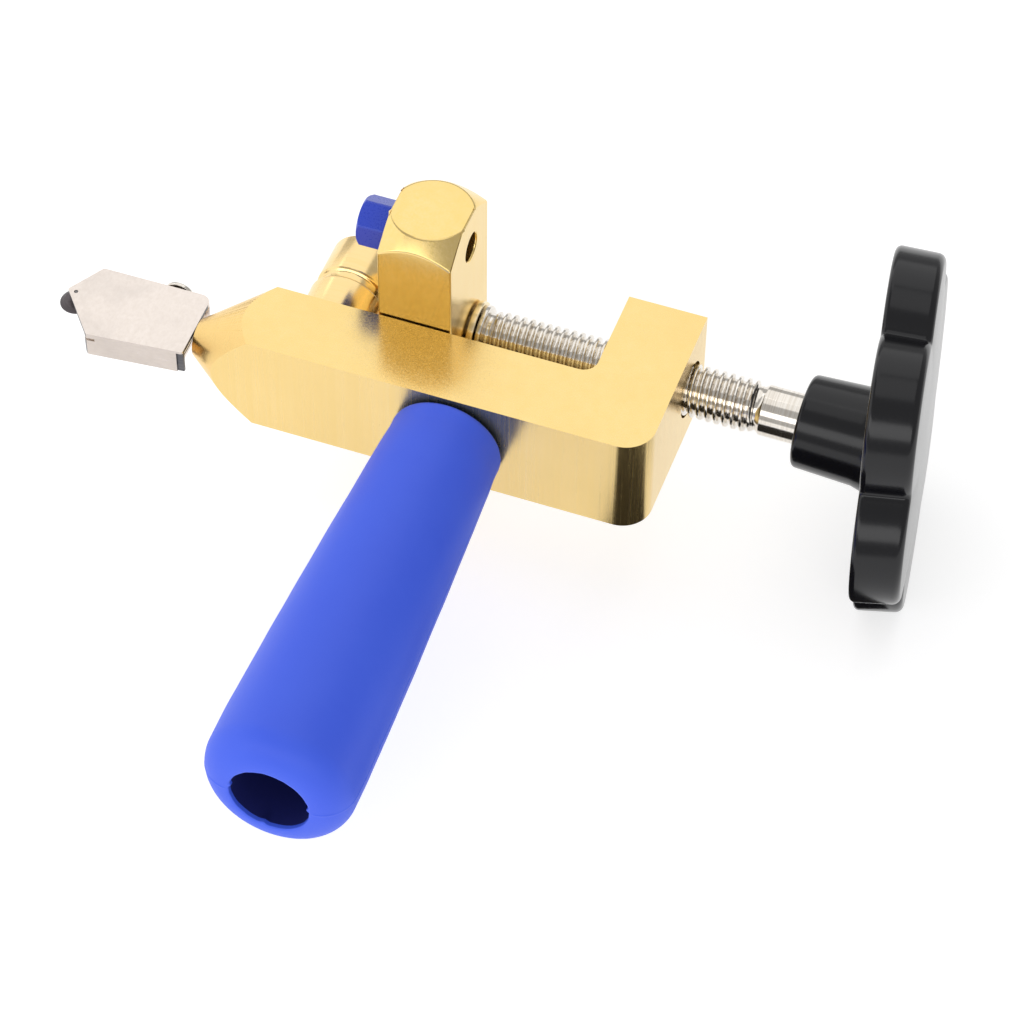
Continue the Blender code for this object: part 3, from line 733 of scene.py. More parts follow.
def make_bar(looks):
    body = prism("bar", bar_outline(), -BAR_HALF_HEIGHT, BAR_HALF_HEIGHT)
    combine(body, [nose_envelope()], "INTERSECT")
    handle_x = centre_of("handle_core").x
    anvil_x = centre_of("anvil").x
    grub_x = centre_of("stem_grub_screw").x
    spigot = BAR_NEAR + CORE_SPIGOT_DEPTH + GAP
    bolt = -ANVIL_BOLT_DEPTH - GAP
    under = -BAR_HALF_HEIGHT - OVERRUN
    handle = (handle_x, 0, 0)
    anvil = (anvil_x, 0, 0)
    grub = (grub_x, NOSE_Y, 0)
    bores = [
        rod("arm_bore", ARM_BORE, -ARM_WIDTH - OVERRUN, OVERRUN, "x", SCREW_LINE),
        rod("handle_bore", CORE_SPIGOT_RADIUS + GAP, BAR_NEAR - OVERRUN, spigot, "y", handle),
        rod("anvil_bore", ANVIL_BOLT_RADIUS + GAP, bolt, OVERRUN, "y", anvil),
        rod("nose_bore", NOSE_BORE, NOSE_END - OVERRUN, STEM_END + GAP, "x", NOSE_LINE),
        rod("grub_bore", GRUB_RADIUS + GAP, under, GRUB_BORE_TOP, "z", grub),
    ]
    combine(body, bores)
    soften(body, BAR_BEVEL, 3, BLOCK_SOFT_TURN, bar_edge_weight, look=BAR_EDGE_SLOT)
    finishes = (looks["bar"], looks["cone"], looks["edge"])
    place(body, "frame_body", "frame", "gold_anodised", *finishes)
    level, steep = CONE_SLOPE
    for face in body.data.polygons:
        if face.material_index == BAR_EDGE_SLOT:
            continue
        sloping = level < abs(face.normal.x) < steep
        face.material_index = int(sloping and face.center.x < (NOSE_ROOT + 0.5) * MM)


def grip_warp(radius, along, angle):
    """Slow waves in the moulding, a parting ridge at mid-height and a torn rim at the hole."""
    x = radius * math.cos(angle)
    z = radius * math.sin(angle)
    spot = Vector((x, along, z))
    wave = noise.noise(spot * GRIP_WAVE_SCALE)
    ripple = noise.noise(spot * RIPPLE_SCALE + Vector((7, 0, 0)))
    swell = GRIP_WAVE * wave + RIPPLE_HEIGHT * ripple
    away = min(abs(angle), abs(angle - math.pi), abs(angle - FULL_TURN)) * radius
    ridge = RIDGE_HEIGHT * math.exp(-((away / RIDGE_WIDTH) ** 2))
    outside = radius > GRIP_BORE + 0.6
    if outside:
        return radius + swell + ridge, along - (ridge if along < GRIP_END + 1.5 else 0)
    if along > GRIP_END + 1.2:
        return radius, along
    torn = noise.noise(Vector((math.cos(angle), math.sin(angle), 0)) * TORN_SCALE)
    nick = 0.0
    for centre, width, depth in TORN_NICKS:
        nick += depth * math.exp(-(((angle - centre) / width) ** 2))
    return radius - TORN_DEPTH * torn - nick, along


def grip_angles():
    """Even sides, with extra ones beside the two parting ridges."""
    found = {round(FULL_TURN * side / GRIP_SIDES, 5) for side in range(GRIP_SIDES)}
    for middle in (0.0, math.pi, FULL_TURN):
        for away in (-0.03, -0.02, -0.012, -0.006, 0.006, 0.012, 0.02):
            if 0 <= middle + away < FULL_TURN:
                found.add(round(middle + away, 5))
    return sorted(found)


def make_handle(looks):
    spot = (centre_of("handle_core").x, 0, 0)
    spigot = (CORE_SPIGOT_RADIUS, BAR_NEAR - GAP)
    steel = stepped(BAR_NEAR + CORE_SPIGOT_DEPTH, spigot, (CORE_RADIUS, CORE_END))
    core = lathe("grip_core", rounded(steel, 0.5), "y", spot, 96)
    place(core, "handle_core", "frame", "steel", looks["steel_y"])
    end, near_bar = span_of("handle_grip", "y")
    end += GRIP_WAVE * 2
    profile = [(GRIP_BORE, near_bar)]
    start = near_bar - GRIP_NECK_ROUND
    profile += arc((GRIP_NECK_RADIUS - GRIP_NECK_ROUND, start), GRIP_NECK_ROUND, 90, 0, 8)
    even, eased = GRIP_SWELL
    for step in range(1, GRIP_STEPS + 1):
        part = step / GRIP_STEPS
        swell = even * part + eased * math.sin(part * math.pi / 2)
        waist = -WAIST_DEPTH * math.exp(-(((part - WAIST_SPOT) / WAIST_WIDTH) ** 2))
        radius = GRIP_NECK_RADIUS + (GRIP_BELLY_RADIUS - GRIP_NECK_RADIUS) * swell + waist
        profile.append((radius, start + (GRIP_BELLY_Y - start) * part))
    centre = (GRIP_BELLY_RADIUS - GRIP_END_ROUND, end + GRIP_END_ROUND)
    profile += [(GRIP_BELLY_RADIUS, GRIP_BELLY_Y - step) for step in (2.0, 4.0)]
    profile += arc(centre, GRIP_END_ROUND, 0, -88, 22)
    profile += [(GRIP_BORE + 0.25, end + 0.02), (GRIP_BORE + 0.05, end + 0.15)]
    profile += [(GRIP_BORE, end + step) for step in (0.4, 0.8, 1.6, 4.0, 10.0, 20.0)]
    profile += [(GRIP_BORE, y) for y in (-60.0, -40.0, -20.0)]
    grip = lathe("grip", profile, "y", spot, grip_angles(), closed=True, warp=grip_warp)
    place(grip, "handle_grip", "frame", "blue_rubber", looks["rubber"], looks["bore"])
    # Painted shade: faces inside the bore, past its first millimetre, take the dark rubber copy.
    for face in grip.data.polygons:
        spoke = Vector((face.center.x - spot[0] * MM, face.center.z))
        inside = spoke.length < (GRIP_BORE + 0.02) * MM
        face.material_index = int(inside and face.center.y > (end + 1.0) * MM)


# ---- anvil, jaw and pads


def make_anvil(looks):
    middle = centre_of("anvil")
    spot = (middle.x, 0, 0)
    near, far = span_of("anvil", "y")
    bolt_bore = ANVIL_BOLT_RADIUS + GAP
    head_bore = ANVIL_HEAD_RADIUS + GAP
    seat = far - ANVIL_HEAD_HEIGHT - 2 * GAP
    flare, flare_height = ANVIL_FLARE
    profile = [
        (bolt_bore, near),
        (ANVIL_FOOT, near),
        (ANVIL_FOOT + flare, near + flare_height),
        (ANVIL_BELLY, GROOVE_NEAR - BELLY_CHAMFER),
        (ANVIL_BELLY - GROOVE_CHAMFER, GROOVE_NEAR),
        (GROOVE_RADIUS, GROOVE_NEAR + GROOVE_CHAMFER),
        (GROOVE_RADIUS, GROOVE_FAR - GROOVE_CHAMFER),
        (ANVIL_RADIUS - RIM_CHAMFER, GROOVE_FAR),
        (ANVIL_RADIUS, GROOVE_FAR + GROOVE_CHAMFER),
        (ANVIL_RADIUS, far),
        (head_bore, far),
        (head_bore, seat),
        (bolt_bore, seat),
    ]
    profile = rounded(profile, 0.4, closed=True, steps=5)
    anvil = lathe("anvil_roller", profile, "y", spot, 160, closed=True)
    place(anvil, "anvil", "frame", "gold_anodised", looks["anvil"])
    head_low = seat + GAP
    head_high = head_low + ANVIL_HEAD_HEIGHT
    head = (ANVIL_HEAD_RADIUS, head_high)
    bolt = stepped(-ANVIL_BOLT_DEPTH, (ANVIL_BOLT_RADIUS, head_low), head)
    screw = lathe("anvil_bolt", rounded(bolt, 0.3), "y", spot, 96)
    floor = head_high - ANVIL_SOCKET_DEPTH
    above = head_high + OVERRUN / 2
    combine(screw, [rod("anvil_socket", ANVIL_SOCKET_RADIUS, floor, above, "y", spot, 6)])
    soften(screw, 0.08, 2, 40.0)
    place(screw, "anvil_screw", "frame", "steel", looks["steel_y"])


def jaw_barrel(left, right, middle, top):
    """The turned blank that gives the block its round flats and conical chamfers."""
    half_x = (right - left) / 2
    near, far = span_of("jaw_block", "y")
    corner = math.hypot(half_x, (far - near) / 2) + JAW_MARGIN
    corner_z = top - (corner - JAW_FLAT_RADIUS)
    profile = [(0, -top), (JAW_FLAT_RADIUS, -top), (corner, -corner_z)]
    profile += [(corner, corner_z), (JAW_FLAT_RADIUS, top), (0, top)]
    return lathe("jaw_barrel", profile, "z", (*middle, 0), JAW_SIDES)


def jaw_edge_weight(edge, turn):
    """Soft rims on the round flats, finer lines on the arched edges and round the screw's bore."""
    middle = (edge.verts[0].co + edge.verts[1].co) / (2 * MM)
    if math.hypot(middle.y - SCREW_Y, middle.z) < COUNTERBORE_RADIUS + BORE_EDGE_MARGIN:
        return BORE_EDGE_SHARE
    if turn > SQUARE_TURN:
        return 1.0
    level = (edge.verts[0].co.z - edge.verts[1].co.z) / MM
    return 1.0 if abs(level) < 0.001 else ARCH_EDGE_SHARE


def make_jaw(looks):
    left, right = span_of("jaw_block", "x")
    near, far = span_of("jaw_block", "y")
    top = span_of("jaw_block", "z")[1]
    middle = ((left + right) / 2, (near + far) / 2)
    square = [(left, near), (right, near), (right, far), (left, far)]
    block = prism("breaker_block", square, -top, top)
    combine(block, [jaw_barrel(left, right, middle, top)], "INTERSECT")
    start = left - OVERRUN
    stop = right + OVERRUN
    deep = left + COUNTERBORE_DEPTH
    cutters = [
        rod("spigot_bore", SPIGOT_RADIUS + GAP, start, stop, "x", SCREW_LINE),
        rod("clip_counterbore", COUNTERBORE_RADIUS, start, deep, "x", SCREW_LINE),
    ]
    for side in ("upper", "lower"):
        pad = centre_of(side + "_pad")
        line = (0, pad.y, pad.z)
        cutters.append(rod(side + "_hole", PAD_HOLE_RADIUS, start, stop, "x", line))
    combine(block, cutters)
    soften(
        block, JAW_BEVEL, 3, BLOCK_SOFT_TURN, jaw_edge_weight, look=JAW_EDGE_SLOT, clamp=False
    )
    place(block, "jaw_block", "jaw", "gold_anodised", looks["block"], looks["edge"])
    for side in ("upper", "lower"):
        make_pad(side, left, looks)
    ring_left, ring_right = span_of("thrust_ring", "x")
    ring_low, ring_high = span_of("thrust_ring", "z")
    ring_radius = (ring_high - ring_low) / 2
    inner = SPIGOT_RADIUS + GAP
    ring = [(inner, ring_left), (ring_radius, ring_left), (ring_radius, ring_right)]
    ring.append((inner, ring_right))
    ring = rounded(ring, RING_ROUND, closed=True)
    washer = lathe("thrust_washer", ring, "x", SCREW_LINE, closed=True)
    place(washer, "thrust_ring", "jaw", "pale_gold", looks["ring"])


def make_pad(side, jaw_left, looks):
    """A hexagonal pad with softened corners, a chamfered end and a round stem."""
    name = side + "_pad"
    middle = centre_of(name)
    end, stem_end = span_of(name, "x")
    near, far = span_of(name, "y")
    corner = PAD_SHARE * (far - near) / math.sqrt(3)
    right = jaw_left - GAP
    line = (0, middle.y, middle.z)
    turn = [FULL_TURN * side_index / 6 for side_index in range(6)]
    outline = [(corner * math.cos(a), corner * math.sin(a)) for a in turn]
    outline = rounded(outline, 0.5, closed=True, steps=5)
    hexagon = prism("pad_" + side, outline, end, right, "x", line)
    inset, depth = PAD_SHOULDER
    blank = [
        (0, end),
        (corner - PAD_FACE_INSET, end),
        (corner - inset, end + depth),
        (corner + PAD_MARGIN, end + PAD_CHAMFER),
        (corner + PAD_MARGIN, right + 1),
        (0, right + 1),
    ]
    combine(hexagon, [lathe("pad_blank", blank, "x", line, 96)], "INTERSECT")
    stem = rod("pad_stem", PAD_STEM_RADIUS, right - PAD_STEM_OVERLAP, stem_end, "x", line)
    combine(hexagon, [stem], "UNION")
    soften(hexagon, PAD_EDGE, 3, 24.0)
    place(hexagon, name, "jaw", "blue_plastic", looks["plastic"])


# ---- screw and knob


def thread_warp(radius, along, angle):
    """A rounded right-hand thread that runs out at both ends."""
    if not THREAD_START <= along <= THREAD_STOP:
        return radius, along
    turn = (along / PITCH - angle / FULL_TURN) % 1.0
    flank = abs(turn - 0.5) * 2
    crest = min(1.0, max(0.0, (flank - THREAD_VALLEY) / THREAD_FLANK))
    crest = crest * crest * (3 - 2 * crest)
    ends = min(along - THREAD_START, THREAD_STOP - along) / RUN_OUT
    return THREAD_ROOT + (THREAD_CREST - THREAD_ROOT) * crest * min(1.0, ends), along


def make_screw(looks):
    clip_right = CLIP_LEFT + CLIP_THICKNESS
    groove = (CLIP_GROOVE, clip_right + GAP)
    neck = (SPIGOT_RADIUS, SHOULDER_LEFT)
    shoulder = (SHOULDER_RADIUS, THREAD_START - 0.55)
    left = stepped(SPIGOT_END, (SPIGOT_RADIUS, CLIP_LEFT - GAP), groove, neck, shoulder)
    left[-1] = (THREAD_ROOT + SHOULDER_FOOT, THREAD_START - 0.25)
    left.append((THREAD_ROOT, THREAD_START - 0.05))
    right = [
        (THREAD_ROOT, THREAD_STOP + 0.05),
        (SHANK_RADIUS, THREAD_STOP + 0.9),
        (SHANK_RADIUS, SHANK_END),
        (0, SHANK_END),
    ]
    steps = int((THREAD_STOP - THREAD_START) / THREAD_STEP)
    thread = [(THREAD_ROOT, THREAD_START + THREAD_STEP * step) for step in range(1, steps)]
    profile = rounded(left, 0.25) + thread + rounded(right, 0.25)
    screw = lathe("feed_spindle", profile, "x", SCREW_LINE, 72, warp=thread_warp)
    shade(screw, 50.0)
    place(screw, "feed_screw", "screw", "chrome", looks["chrome"])
    inner = CLIP_GROOVE + GAP
    mouth_end = 360 - CLIP_MOUTH
    points = arc((0, 0), CLIP_OUTER, CLIP_MOUTH, mouth_end, 60)
    points += arc((0, 0), inner, mouth_end, CLIP_MOUTH, 60)
    points = rounded(points, 0.35, closed=True, least=40)
    clip = prism("e_clip", points, CLIP_LEFT, clip_right, "x", SCREW_LINE)
    soften(clip, 0.08, 2, 40.0)
    place(clip, "retaining_clip", "screw", "steel", looks["steel"])


def star_reach(angle):
    """Distance from the axis to the star's edge: round lobes with softly filled valleys."""
    total = 0.0
    for lobe in range(STAR_LOBES):
        away = angle - STAR_PHASE - FULL_TURN * lobe / STAR_LOBES
        under = LOBE_RADIUS**2 - (LOBE_CENTRE * math.sin(away)) ** 2
        if under > 0 and math.cos(away) > 0:
            reach = LOBE_CENTRE * math.cos(away) + math.sqrt(under)
            total += math.exp(reach / VALLEY_SOFTNESS)
    return VALLEY_SOFTNESS * math.log(total) - STAR_TRIM


def star_sections():
    """(share of the radius, inset, distance along) from the inner face round to the outer one."""
    found = [(0.0, 0.0, STAR_LEFT)]
    found += [(share, STAR_INNER_INSET, STAR_LEFT) for share in STAR_INNER_SHARES]
    round_in = STAR_ROUND * STAR_INNER_ROUND
    for turn in range(0, 91, 15):
        angle = math.radians(turn)
        inset = round_in * (1 - math.sin(angle))
        found.append((1.0, inset, STAR_LEFT + round_in * (1 - math.cos(angle))))
    for turn in range(90, -1, -10):
        angle = math.radians(turn)
        inset = STAR_DRAFT + STAR_ROUND * (1 - math.sin(angle))
        drop = STAR_DOME + STAR_ROUND * (1 - math.cos(angle))
        found.append((1.0, inset, STAR_RIGHT - drop))
    for share in STAR_OUTER_SHARES:
        drop = STAR_DOME * share**STAR_DOME_POWER
        found.append((share, STAR_ROUND * share, STAR_RIGHT - drop))
    return found


def make_star():
    tool = bmesh.new()
    rings = []
    for share, inset, along in star_sections():
        if share == 0.0:
            rings.append([tool.verts.new((0, 0, along))])
            continue
        ring = []
        for step in range(STAR_STEPS):
            angle = FULL_TURN * step / STAR_STEPS
            reach = (star_reach(angle) - inset) * share
            # Turning onto X takes local X to -Z and local Y to Y, so this keeps the angle.
            y = reach * math.cos(angle)
            z = reach * math.sin(angle)
            ring.append(tool.verts.new((-z, y, along)))
        rings.append(ring)
    for near, far in zip(rings, rings[1:]):
        bridge(tool, near, far)
    star = close_mesh(tool, "knob", "x", SCREW_LINE)
    pivot = Matrix.Translation(Vector((KNOB_FRONT, SCREW_Y, 0)) * MM)
    lean = Matrix.Rotation(KNOB_TILT, 4, "Y") @ Matrix.Rotation(KNOB_LEAN, 4, "Z")
    star.data.transform(pivot @ lean @ pivot.inverted())
    return star


def make_knob(looks):
    star = make_star()
    hub = [(0, KNOB_FRONT), (HUB_RADIUS - HUB_DRAFT, KNOB_FRONT)]
    hub += [(HUB_RADIUS + wider, STAR_LEFT + along) for wider, along in HUB_FLARE]
    hub.append((0, STAR_LEFT + HUB_FLARE[-1][1]))
    hub = rounded(hub, HUB_ROUND, steps=6)
    combine(star, [lathe("hub", hub, "x", SCREW_LINE, 160)], "UNION")
    start = KNOB_FRONT - OVERRUN
    bore = SHANK_RADIUS + GAP
    combine(star, [rod("knob_bore", bore, start, SHANK_END + GAP, "x", SCREW_LINE)])
    soften(star, 0.2, 2, 50.0)
    place(star, "star_knob", "screw", "black_plastic", looks["black"])


# ---- cutter head


def inset_outline(outline, distance):
    """Move every side of a convex outline inwards."""
    count = len(outline)
    lines = []
    centre = Vector((sum(p[0] for p in outline) / count, sum(p[1] for p in outline) / count))
    for index in range(count):
        start = Vector(outline[index])
        along = (Vector(outline[(index + 1) % count]) - start).normalized()
        inward = Vector((-along.y, along.x))
        if inward.dot(centre - start) < 0:
            inward = -inward
        lines.append((start + inward * distance, along))
    found = []
    for index in range(count):
        (p, u), (q, v) = lines[index - 1], lines[index]
        t = ((q - p).x * v.y - (q - p).y * v.x) / (u.x * v.y - u.y * v.x)
        found.append(tuple(p + u * t))
    return found


def head_outline():
    """The folded sheet's outline with its corners eased, the far right one most."""
    far_left, corner, near_right = (Vector(point) for point in HEAD_OUTLINE[1:4])
    points = rounded(HEAD_OUTLINE, HEAD_ROUND, closed=True, steps=5)
    kept = [p for p in points if (Vector(p) - corner).length > FAR_CORNER_CLEAR]
    lefts = [i for i, p in enumerate(kept) if (Vector(p) - far_left).length < LEFT_CORNER_CLEAR]
    after = lefts[-1]
    to_left = (far_left - corner).normalized() * FAR_CORNER_EASE
    to_near = (near_right - corner).normalized() * FAR_CORNER_EASE
    eased = []
    for step in range(EASE_STEPS + 1):
        part = step / EASE_STEPS
        bend = (corner + to_left) * (1 - part) ** 2 + corner * 2 * part * (1 - part)
        eased.append(tuple(bend + (corner + to_near) * part**2))
    return kept[: after + 1] + eased + kept[after + 1 :]


def head_edge_weight(edge, turn):
    """A full bend radius where the sheet is folded down, a fine break on the cut edges."""
    a, b = (v.co / MM for v in edge.verts)
    top = min(a.z, b.z) > HEAD_HALF - 0.01
    side = (b - a).normalized() if (b - a).length > 1e-6 else Vector((0, 0, 1))
    folded = top and abs(side.x) > 0.95 and (b - a).length > FOLD_LENGTH
    return 1.0 if folded else CUT_EDGE_SHARE


def axle_hole():
    """A cutter for the hole that holds the axle's thin end."""
    radius = AXLE_END_RADIUS + AXLE_CLEARANCE
    return rod("axle_hole", radius, -2 * OVERRUN, 2 * OVERRUN, "z", AXLE_LINE, 40)


def make_head(looks):
    shell = prism("head_cover", head_outline(), -HEAD_HALF, HEAD_HALF)
    hollow = inset_outline(HEAD_OUTLINE, SHEET)
    open_left = HEAD_OUTLINE[0][0] - OVERRUN
    open_right = HEAD_OUTLINE[2][0] + OVERRUN
    slope = (hollow[3][1] - hollow[4][1]) / (hollow[3][0] - hollow[4][0])
    cavity = [
        (open_left, hollow[4][1] + slope * (open_left - hollow[4][0])),
        (open_right, hollow[4][1] + slope * (open_right - hollow[4][0])),
        (open_right, hollow[2][1]),
        (open_left, hollow[1][1]),
    ]
    pocket = prism("pocket", cavity, -HEAD_HALF - OVERRUN, HEAD_HALF - SHEET)
    combine(shell, [pocket])
    reach = CLAMP_HOLE_REACH
    clamp_hole = rod("clamp_hole", CLAMP_RADIUS + GAP, -reach, reach, "y", CLAMP_LINE, 40)
    combine(shell, [*head_reliefs(), axle_hole(), clamp_hole])
    soften(shell, HEAD_BEVEL, 4, 30.0, head_edge_weight)
    finishes = (looks["nickel"], looks["cut_edge"], looks["fold"])
    place(shell, "head_shell", "cutter_head", "satin_nickel", *finishes)
    darken_cut_edges(shell)
    outline = rounded(inset_outline(HEAD_OUTLINE, SHEET + GAP), HEAD_ROUND, closed=True, steps=5)
    base = prism("head_plate", outline, -HEAD_HALF, -HEAD_HALF + SHEET)
    combine(base, [axle_hole()])
    soften(base, 0.12, 2, 40.0)
    place(base, "head_base", "cutter_head", "satin_nickel", looks["nickel"])
    make_core(looks)


def wall_cutter(name, start, stop, depth, low, high):
    """A box that cuts `depth` into the near wall, between two distances along its fold."""
    left = Vector(HEAD_OUTLINE[4])
    fold = (Vector(HEAD_OUTLINE[3]) - left).normalized()
    inward = Vector((-fold.y, fold.x))
    corners = ((start, -1), (stop, -1), (stop, depth), (start, depth))
    outline = [tuple(left + fold * along + inward * across) for along, across in corners]
    return prism(name, outline, low, high)


def head_reliefs():
    """The relief slot at the left end of the near wall and the step at its right end."""
    length = (Vector(HEAD_OUTLINE[3]) - Vector(HEAD_OUTLINE[4])).length
    slot_low, slot_high = RELIEF_LEVELS
    return [
        wall_cutter("relief", -1.0, RELIEF_LENGTH, 2 * SHEET, slot_low, slot_high),
        wall_cutter("step", length - STEP_WIDTH, length + 1, STEP_DEPTH, -OVERRUN, STEP_TOP),
    ]


def darken_cut_edges(shell):
    """Give the sheet's sheared ends their own look, and paint shade on its folded-down wall with a
    darker copy of the nickel.
    """
    tip = Vector(HEAD_OUTLINE[0])
    near_left = Vector(HEAD_OUTLINE[4])
    side = (near_left - tip).normalized()
    outward = Vector((side.y, -side.x))
    if outward.x > 0:
        outward = -outward
    right = HEAD_OUTLINE[3][0]
    low, high = RELIEF_LEVELS
    for face in shell.data.polygons:
        flat = Vector((face.normal.x, face.normal.y))
        middle = face.center / MM
        slanted = flat.dot(outward) > 0.9
        at_end = middle.x > right - STEP_WIDTH - 0.1 and middle.y < WALL_Y
        stepped = at_end and middle.z < HEAD_HALF - 0.3
        at_slot = middle.x < near_left.x + RELIEF_LENGTH and middle.y < RELIEF_Y
        relieved = at_slot and low < middle.z < high
        # Painted shade: faces of the near wall that face the front take the darker nickel copy.
        folded = face.normal.y < -0.55 and middle.y < WALL_Y
        bare = slanted or stepped or relieved
        face.material_index = CUT_EDGE_SLOT if bare else SHADED_WALL_SLOT * int(folded)


def make_core(looks):
    """The solid insert between the plates, which carries the stem and the clamp screw."""
    base = inset_outline(HEAD_OUTLINE, SHEET + GAP)
    core_left = AXLE_X + WHEEL_RADIUS + INSERT_WHEEL_GAP
    far = base[2][1]
    near = base[4][1] + INSERT_WALL_GAP
    chamfer_x, chamfer_y = INSERT_CHAMFER
    outline = [
        (core_left, near + chamfer_y),
        (core_left, far - chamfer_y),
        (core_left + chamfer_x, far),
        (base[2][0], far),
        (base[3][0], near),
        (core_left + chamfer_x, near),
    ]
    outline = rounded(outline, HEAD_ROUND, closed=True)
    core = prism("head_insert", outline, -INSERT_HALF, INSERT_HALF)
    neck = NECK_RADIUS + GAP
    bore = rod("core_bore", neck, STEM_LEFT - GAP, INSERT_BORE_END, "x", NOSE_LINE, 48)
    low = -CLAMP_BORE_DEPTH
    clamp = rod("clamp_bore", CLAMP_RADIUS + GAP, low, OVERRUN, "y", CLAMP_LINE, 40)
    combine(core, [bore, clamp])
    soften(core, 0.15, 2, 30.0)
    place(core, "head_core", "cutter_head", "pale_gold", looks["brass"])


def make_stem(looks):
    groove_left, groove_right = STEM_GROOVE
    profile = stepped(
        STEM_LEFT,
        (NECK_RADIUS, NOSE_END + GAP),
        (STEM_RADIUS, groove_left),
        (STEM_GROOVE_RADIUS, groove_right),
        (STEM_RADIUS, STEM_END),
    )
    stem = lathe("swivel_stem", rounded(profile, 0.2), "x", NOSE_LINE, 96)
    place(stem, "head_stem", "cutter_head", "steel", looks["steel"])
    low = span_of("stem_grub_screw", "z")[0]
    taper_low, taper_high = GRUB_TAPER
    grub = [
        (0, low),
        (GRUB_RADIUS, low),
        (GRUB_RADIUS, taper_low),
        (GRUB_TIP_RADIUS, taper_high),
        (GRUB_TIP_RADIUS, -STEM_GROOVE_RADIUS - GAP),
        (0, -STEM_GROOVE_RADIUS - GAP),
    ]
    line = (centre_of("stem_grub_screw").x, NOSE_Y, 0)
    screw = lathe("grub_screw", rounded(grub, 0.2), "z", line, 64)
    under = low - OVERRUN / 2
    socket_top = low + GRUB_SOCKET_DEPTH
    combine(screw, [rod("grub_socket", GRUB_SOCKET_RADIUS, under, socket_top, "z", line, 6)])
    soften(screw, 0.06, 2, 40.0)
    place(screw, "stem_grub_screw", "frame", "steel", looks["steel_z"])


def make_wheel(looks):
    half = HEAD_HALF - AXLE_CLEARANCE
    step = HEAD_HALF - SHEET - AXLE_STEP_GAP
    pin = [(0, -half), (AXLE_END_RADIUS, -half), (AXLE_END_RADIUS, -step), (AXLE_RADIUS, -step)]
    pin += [(radius, -height) for radius, height in reversed(pin)]
    axle = lathe("wheel_pin", rounded(pin, 0.08), "z", AXLE_LINE, 48)
    place(axle, "wheel_axle", "cutter_head", "steel", looks["pin"])
    bore = AXLE_RADIUS + WHEEL_BORE_GAP
    shelf = (WHEEL_RADIUS - WHEEL_BEVEL, WHEEL_HALF - WHEEL_RIM_DROP)
    upper = [shelf, (WHEEL_RADIUS - WHEEL_RIM, WHEEL_HALF), (bore, WHEEL_HALF)]
    lower = [(radius, -height) for radius, height in reversed(upper)]
    profile = rounded([*lower, (WHEEL_RADIUS, 0.0), *upper], 0.05, closed=True, steps=3)
    wheel = lathe("scoring_wheel", profile, "z", AXLE_LINE, closed=True)
    place(wheel, "cutting_wheel", "wheel", "carbide", looks["carbide"])


def make_clamp_screw(looks):
    low, high = span_of("head_clamp_screw", "y")
    face = high - CLAMP_HEAD_HEIGHT
    profile = [(0, low), (CLAMP_RADIUS, low), (CLAMP_RADIUS, face), (CLAMP_HEAD_RADIUS, face)]
    rim = face + CLAMP_HEAD_RIM
    profile.append((CLAMP_HEAD_RADIUS, rim))
    for step in range(1, EASE_STEPS):
        angle = math.radians(90 * step / EASE_STEPS)
        reach = CLAMP_HEAD_RADIUS * math.cos(angle)
        profile.append((reach, rim + CLAMP_HEAD_DOME * math.sin(angle)))
    profile.append((0, high))
    profile = rounded(profile, 0.12, steps=3, least=30)
    screw = lathe("clamp_screw", profile, "y", CLAMP_LINE, 96)
    wide = DRIVE_HALF_WIDTH
    long = DRIVE_HALF_LENGTH
    drive = [(-wide, -long), (wide, -long), (wide, long), (-wide, long)]
    turned_drive = [(y, x) for x, y in drive]
    floor = high - DRIVE_DEPTH
    cross = [
        prism("drive_a", drive, floor, high + 1, "y", CLAMP_LINE),
        prism("drive_b", turned_drive, floor, high + 1, "y", CLAMP_LINE),
    ]
    for cutter in cross:
        combine(screw, [cutter])
    soften(screw, 0.05, 2, 45.0)
    place(screw, "head_clamp_screw", "cutter_head", "chrome", looks["chrome"])


# ---- studio


def make_camera():
    back = CAMERA_BACK.normalized()
    level = Vector((0, 0, 1)).cross(back).normalized()
    rise = back.cross(level)
    right = level * math.cos(CAMERA_ROLL) + rise * math.sin(CAMERA_ROLL)
    up = rise * math.cos(CAMERA_ROLL) - level * math.sin(CAMERA_ROLL)
    data = bpy.data.cameras.new("camera")
    data.lens = CAMERA_LENS
    data.sensor_width = CAMERA_SENSOR
    data.clip_start, data.clip_end = CAMERA_CLIP
    camera = bpy.data.objects.new("camera", data)
    turn = Matrix((right, up, back)).transposed().to_4x4()
    spot = DATUM + (Vector(CAMERA_TARGET) + back * CAMERA_DISTANCE) * MM
    camera.matrix_world = Matrix.Translation(spot) @ turn
    bpy.context.scene.collection.objects.link(camera)
    bpy.context.scene.camera = camera


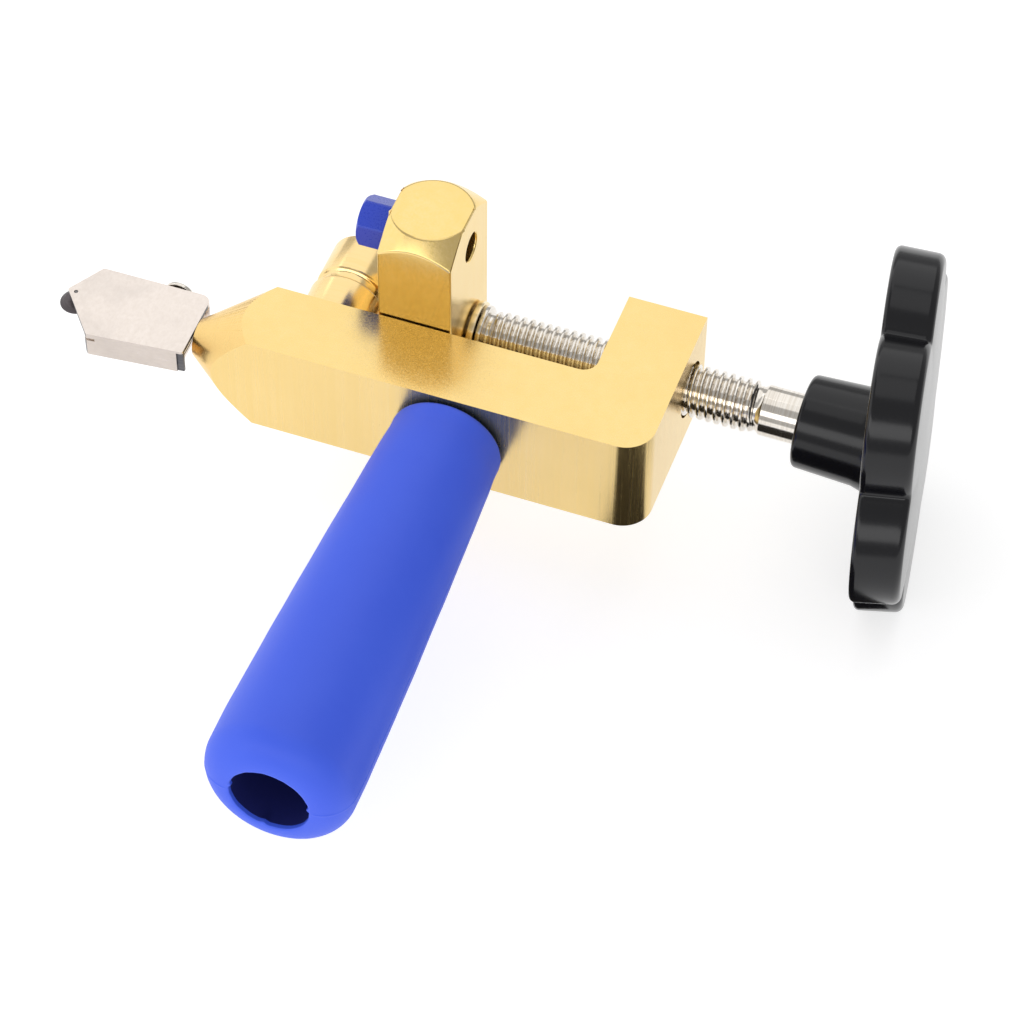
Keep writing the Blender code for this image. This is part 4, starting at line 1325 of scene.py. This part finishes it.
def make_floor():
    tool = bmesh.new()
    bmesh.ops.create_grid(tool, x_segments=1, y_segments=1, size=FLOOR_SIZE)
    mesh = bpy.data.meshes.new("floor")
    tool.to_mesh(mesh)
    tool.free()
    floor = bpy.data.objects.new("floor", mesh)
    floor.location.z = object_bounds()[0].z - FLOOR_DROP
    bpy.context.scene.collection.objects.link(floor)
    n = Nodes("pale_floor")
    n.colour(n.mix(n.grain(30.0, 2.0), (0.62, 0.62, 0.62), (0.64, 0.64, 0.64)))
    n.set(Roughness=0.9, Specular_IOR_Level=0.1)
    n.set(Emission_Color=(1.0, 1.0, 1.0, 1.0), Emission_Strength=FLOOR_GLOW)
    mesh.materials.append(n.made)
    floor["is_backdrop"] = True


def make_card():
    """A black card on the floor, seen only in reflections: a painted shadow that stands in for the
    shadowed floor reflected in the bar's round corner.
    """
    tool = bmesh.new()
    (left, near), (right, far) = CARD_LOW, CARD_HIGH
    corners = [(left, near), (right, near), (right, far), (left, far)]
    tool.faces.new([tool.verts.new((x, y, 0)) for x, y in corners])
    card = close_mesh(tool, "painted_shadow_card")
    card.location = (DATUM.x, DATUM.y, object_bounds()[0].z + CARD_RISE)
    n = Nodes("painted_shadow_card")
    # Painted shadow: near-black, seen only where the bar's round corner reflects the floor.
    n.colour(n.mix(n.grain(40.0, 2.0), (0.02, 0.018, 0.015), (0.03, 0.026, 0.02)))
    n.set(Roughness=0.9, Specular_IOR_Level=0.1)
    card.data.materials.append(n.made)
    card.visible_camera = False
    card.visible_diffuse = False
    card.visible_shadow = False
    card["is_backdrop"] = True


def make_light():
    world = bpy.data.worlds.new("studio")
    world.use_nodes = True
    background = world.node_tree.nodes["Background"]
    background.inputs["Color"].default_value = (1.0, 1.0, 1.0, 1.0)
    background.inputs["Strength"].default_value = WORLD_STRENGTH
    bpy.context.scene.world = world
    for name, spot, size, power in LIGHT_BOXES:
        data = bpy.data.lights.new(name, "AREA")
        data.shape = "RECTANGLE"
        data.size, data.size_y = size
        data.energy = power
        light = bpy.data.objects.new(name, data)
        light.location = spot
        aim = Vector(LIGHT_TARGET) - Vector(spot)
        light.rotation_euler = aim.to_track_quat("-Z", "Y").to_euler()
        bpy.context.scene.collection.objects.link(light)
    bpy.context.scene.view_settings.view_transform = "Standard"


# ---- assembly

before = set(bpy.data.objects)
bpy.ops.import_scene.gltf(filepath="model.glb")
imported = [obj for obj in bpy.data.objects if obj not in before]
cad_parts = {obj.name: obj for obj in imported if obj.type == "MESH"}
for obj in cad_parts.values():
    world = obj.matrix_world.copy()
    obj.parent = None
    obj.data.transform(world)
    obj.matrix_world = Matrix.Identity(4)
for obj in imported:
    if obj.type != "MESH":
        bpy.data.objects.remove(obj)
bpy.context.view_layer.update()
bar_low, bar_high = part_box("frame_body")
DATUM = Vector((bar_high.x, bar_low.y - BAR_NEAR * MM, (bar_low.z + bar_high.z) / 2))

looks = make_looks()
make_bar(looks)
make_handle(looks)
make_anvil(looks)
make_jaw(looks)
make_screw(looks)
make_knob(looks)
make_head(looks)
make_stem(looks)
make_wheel(looks)
make_clamp_screw(looks)
make_camera()
make_floor()
make_card()
make_light()
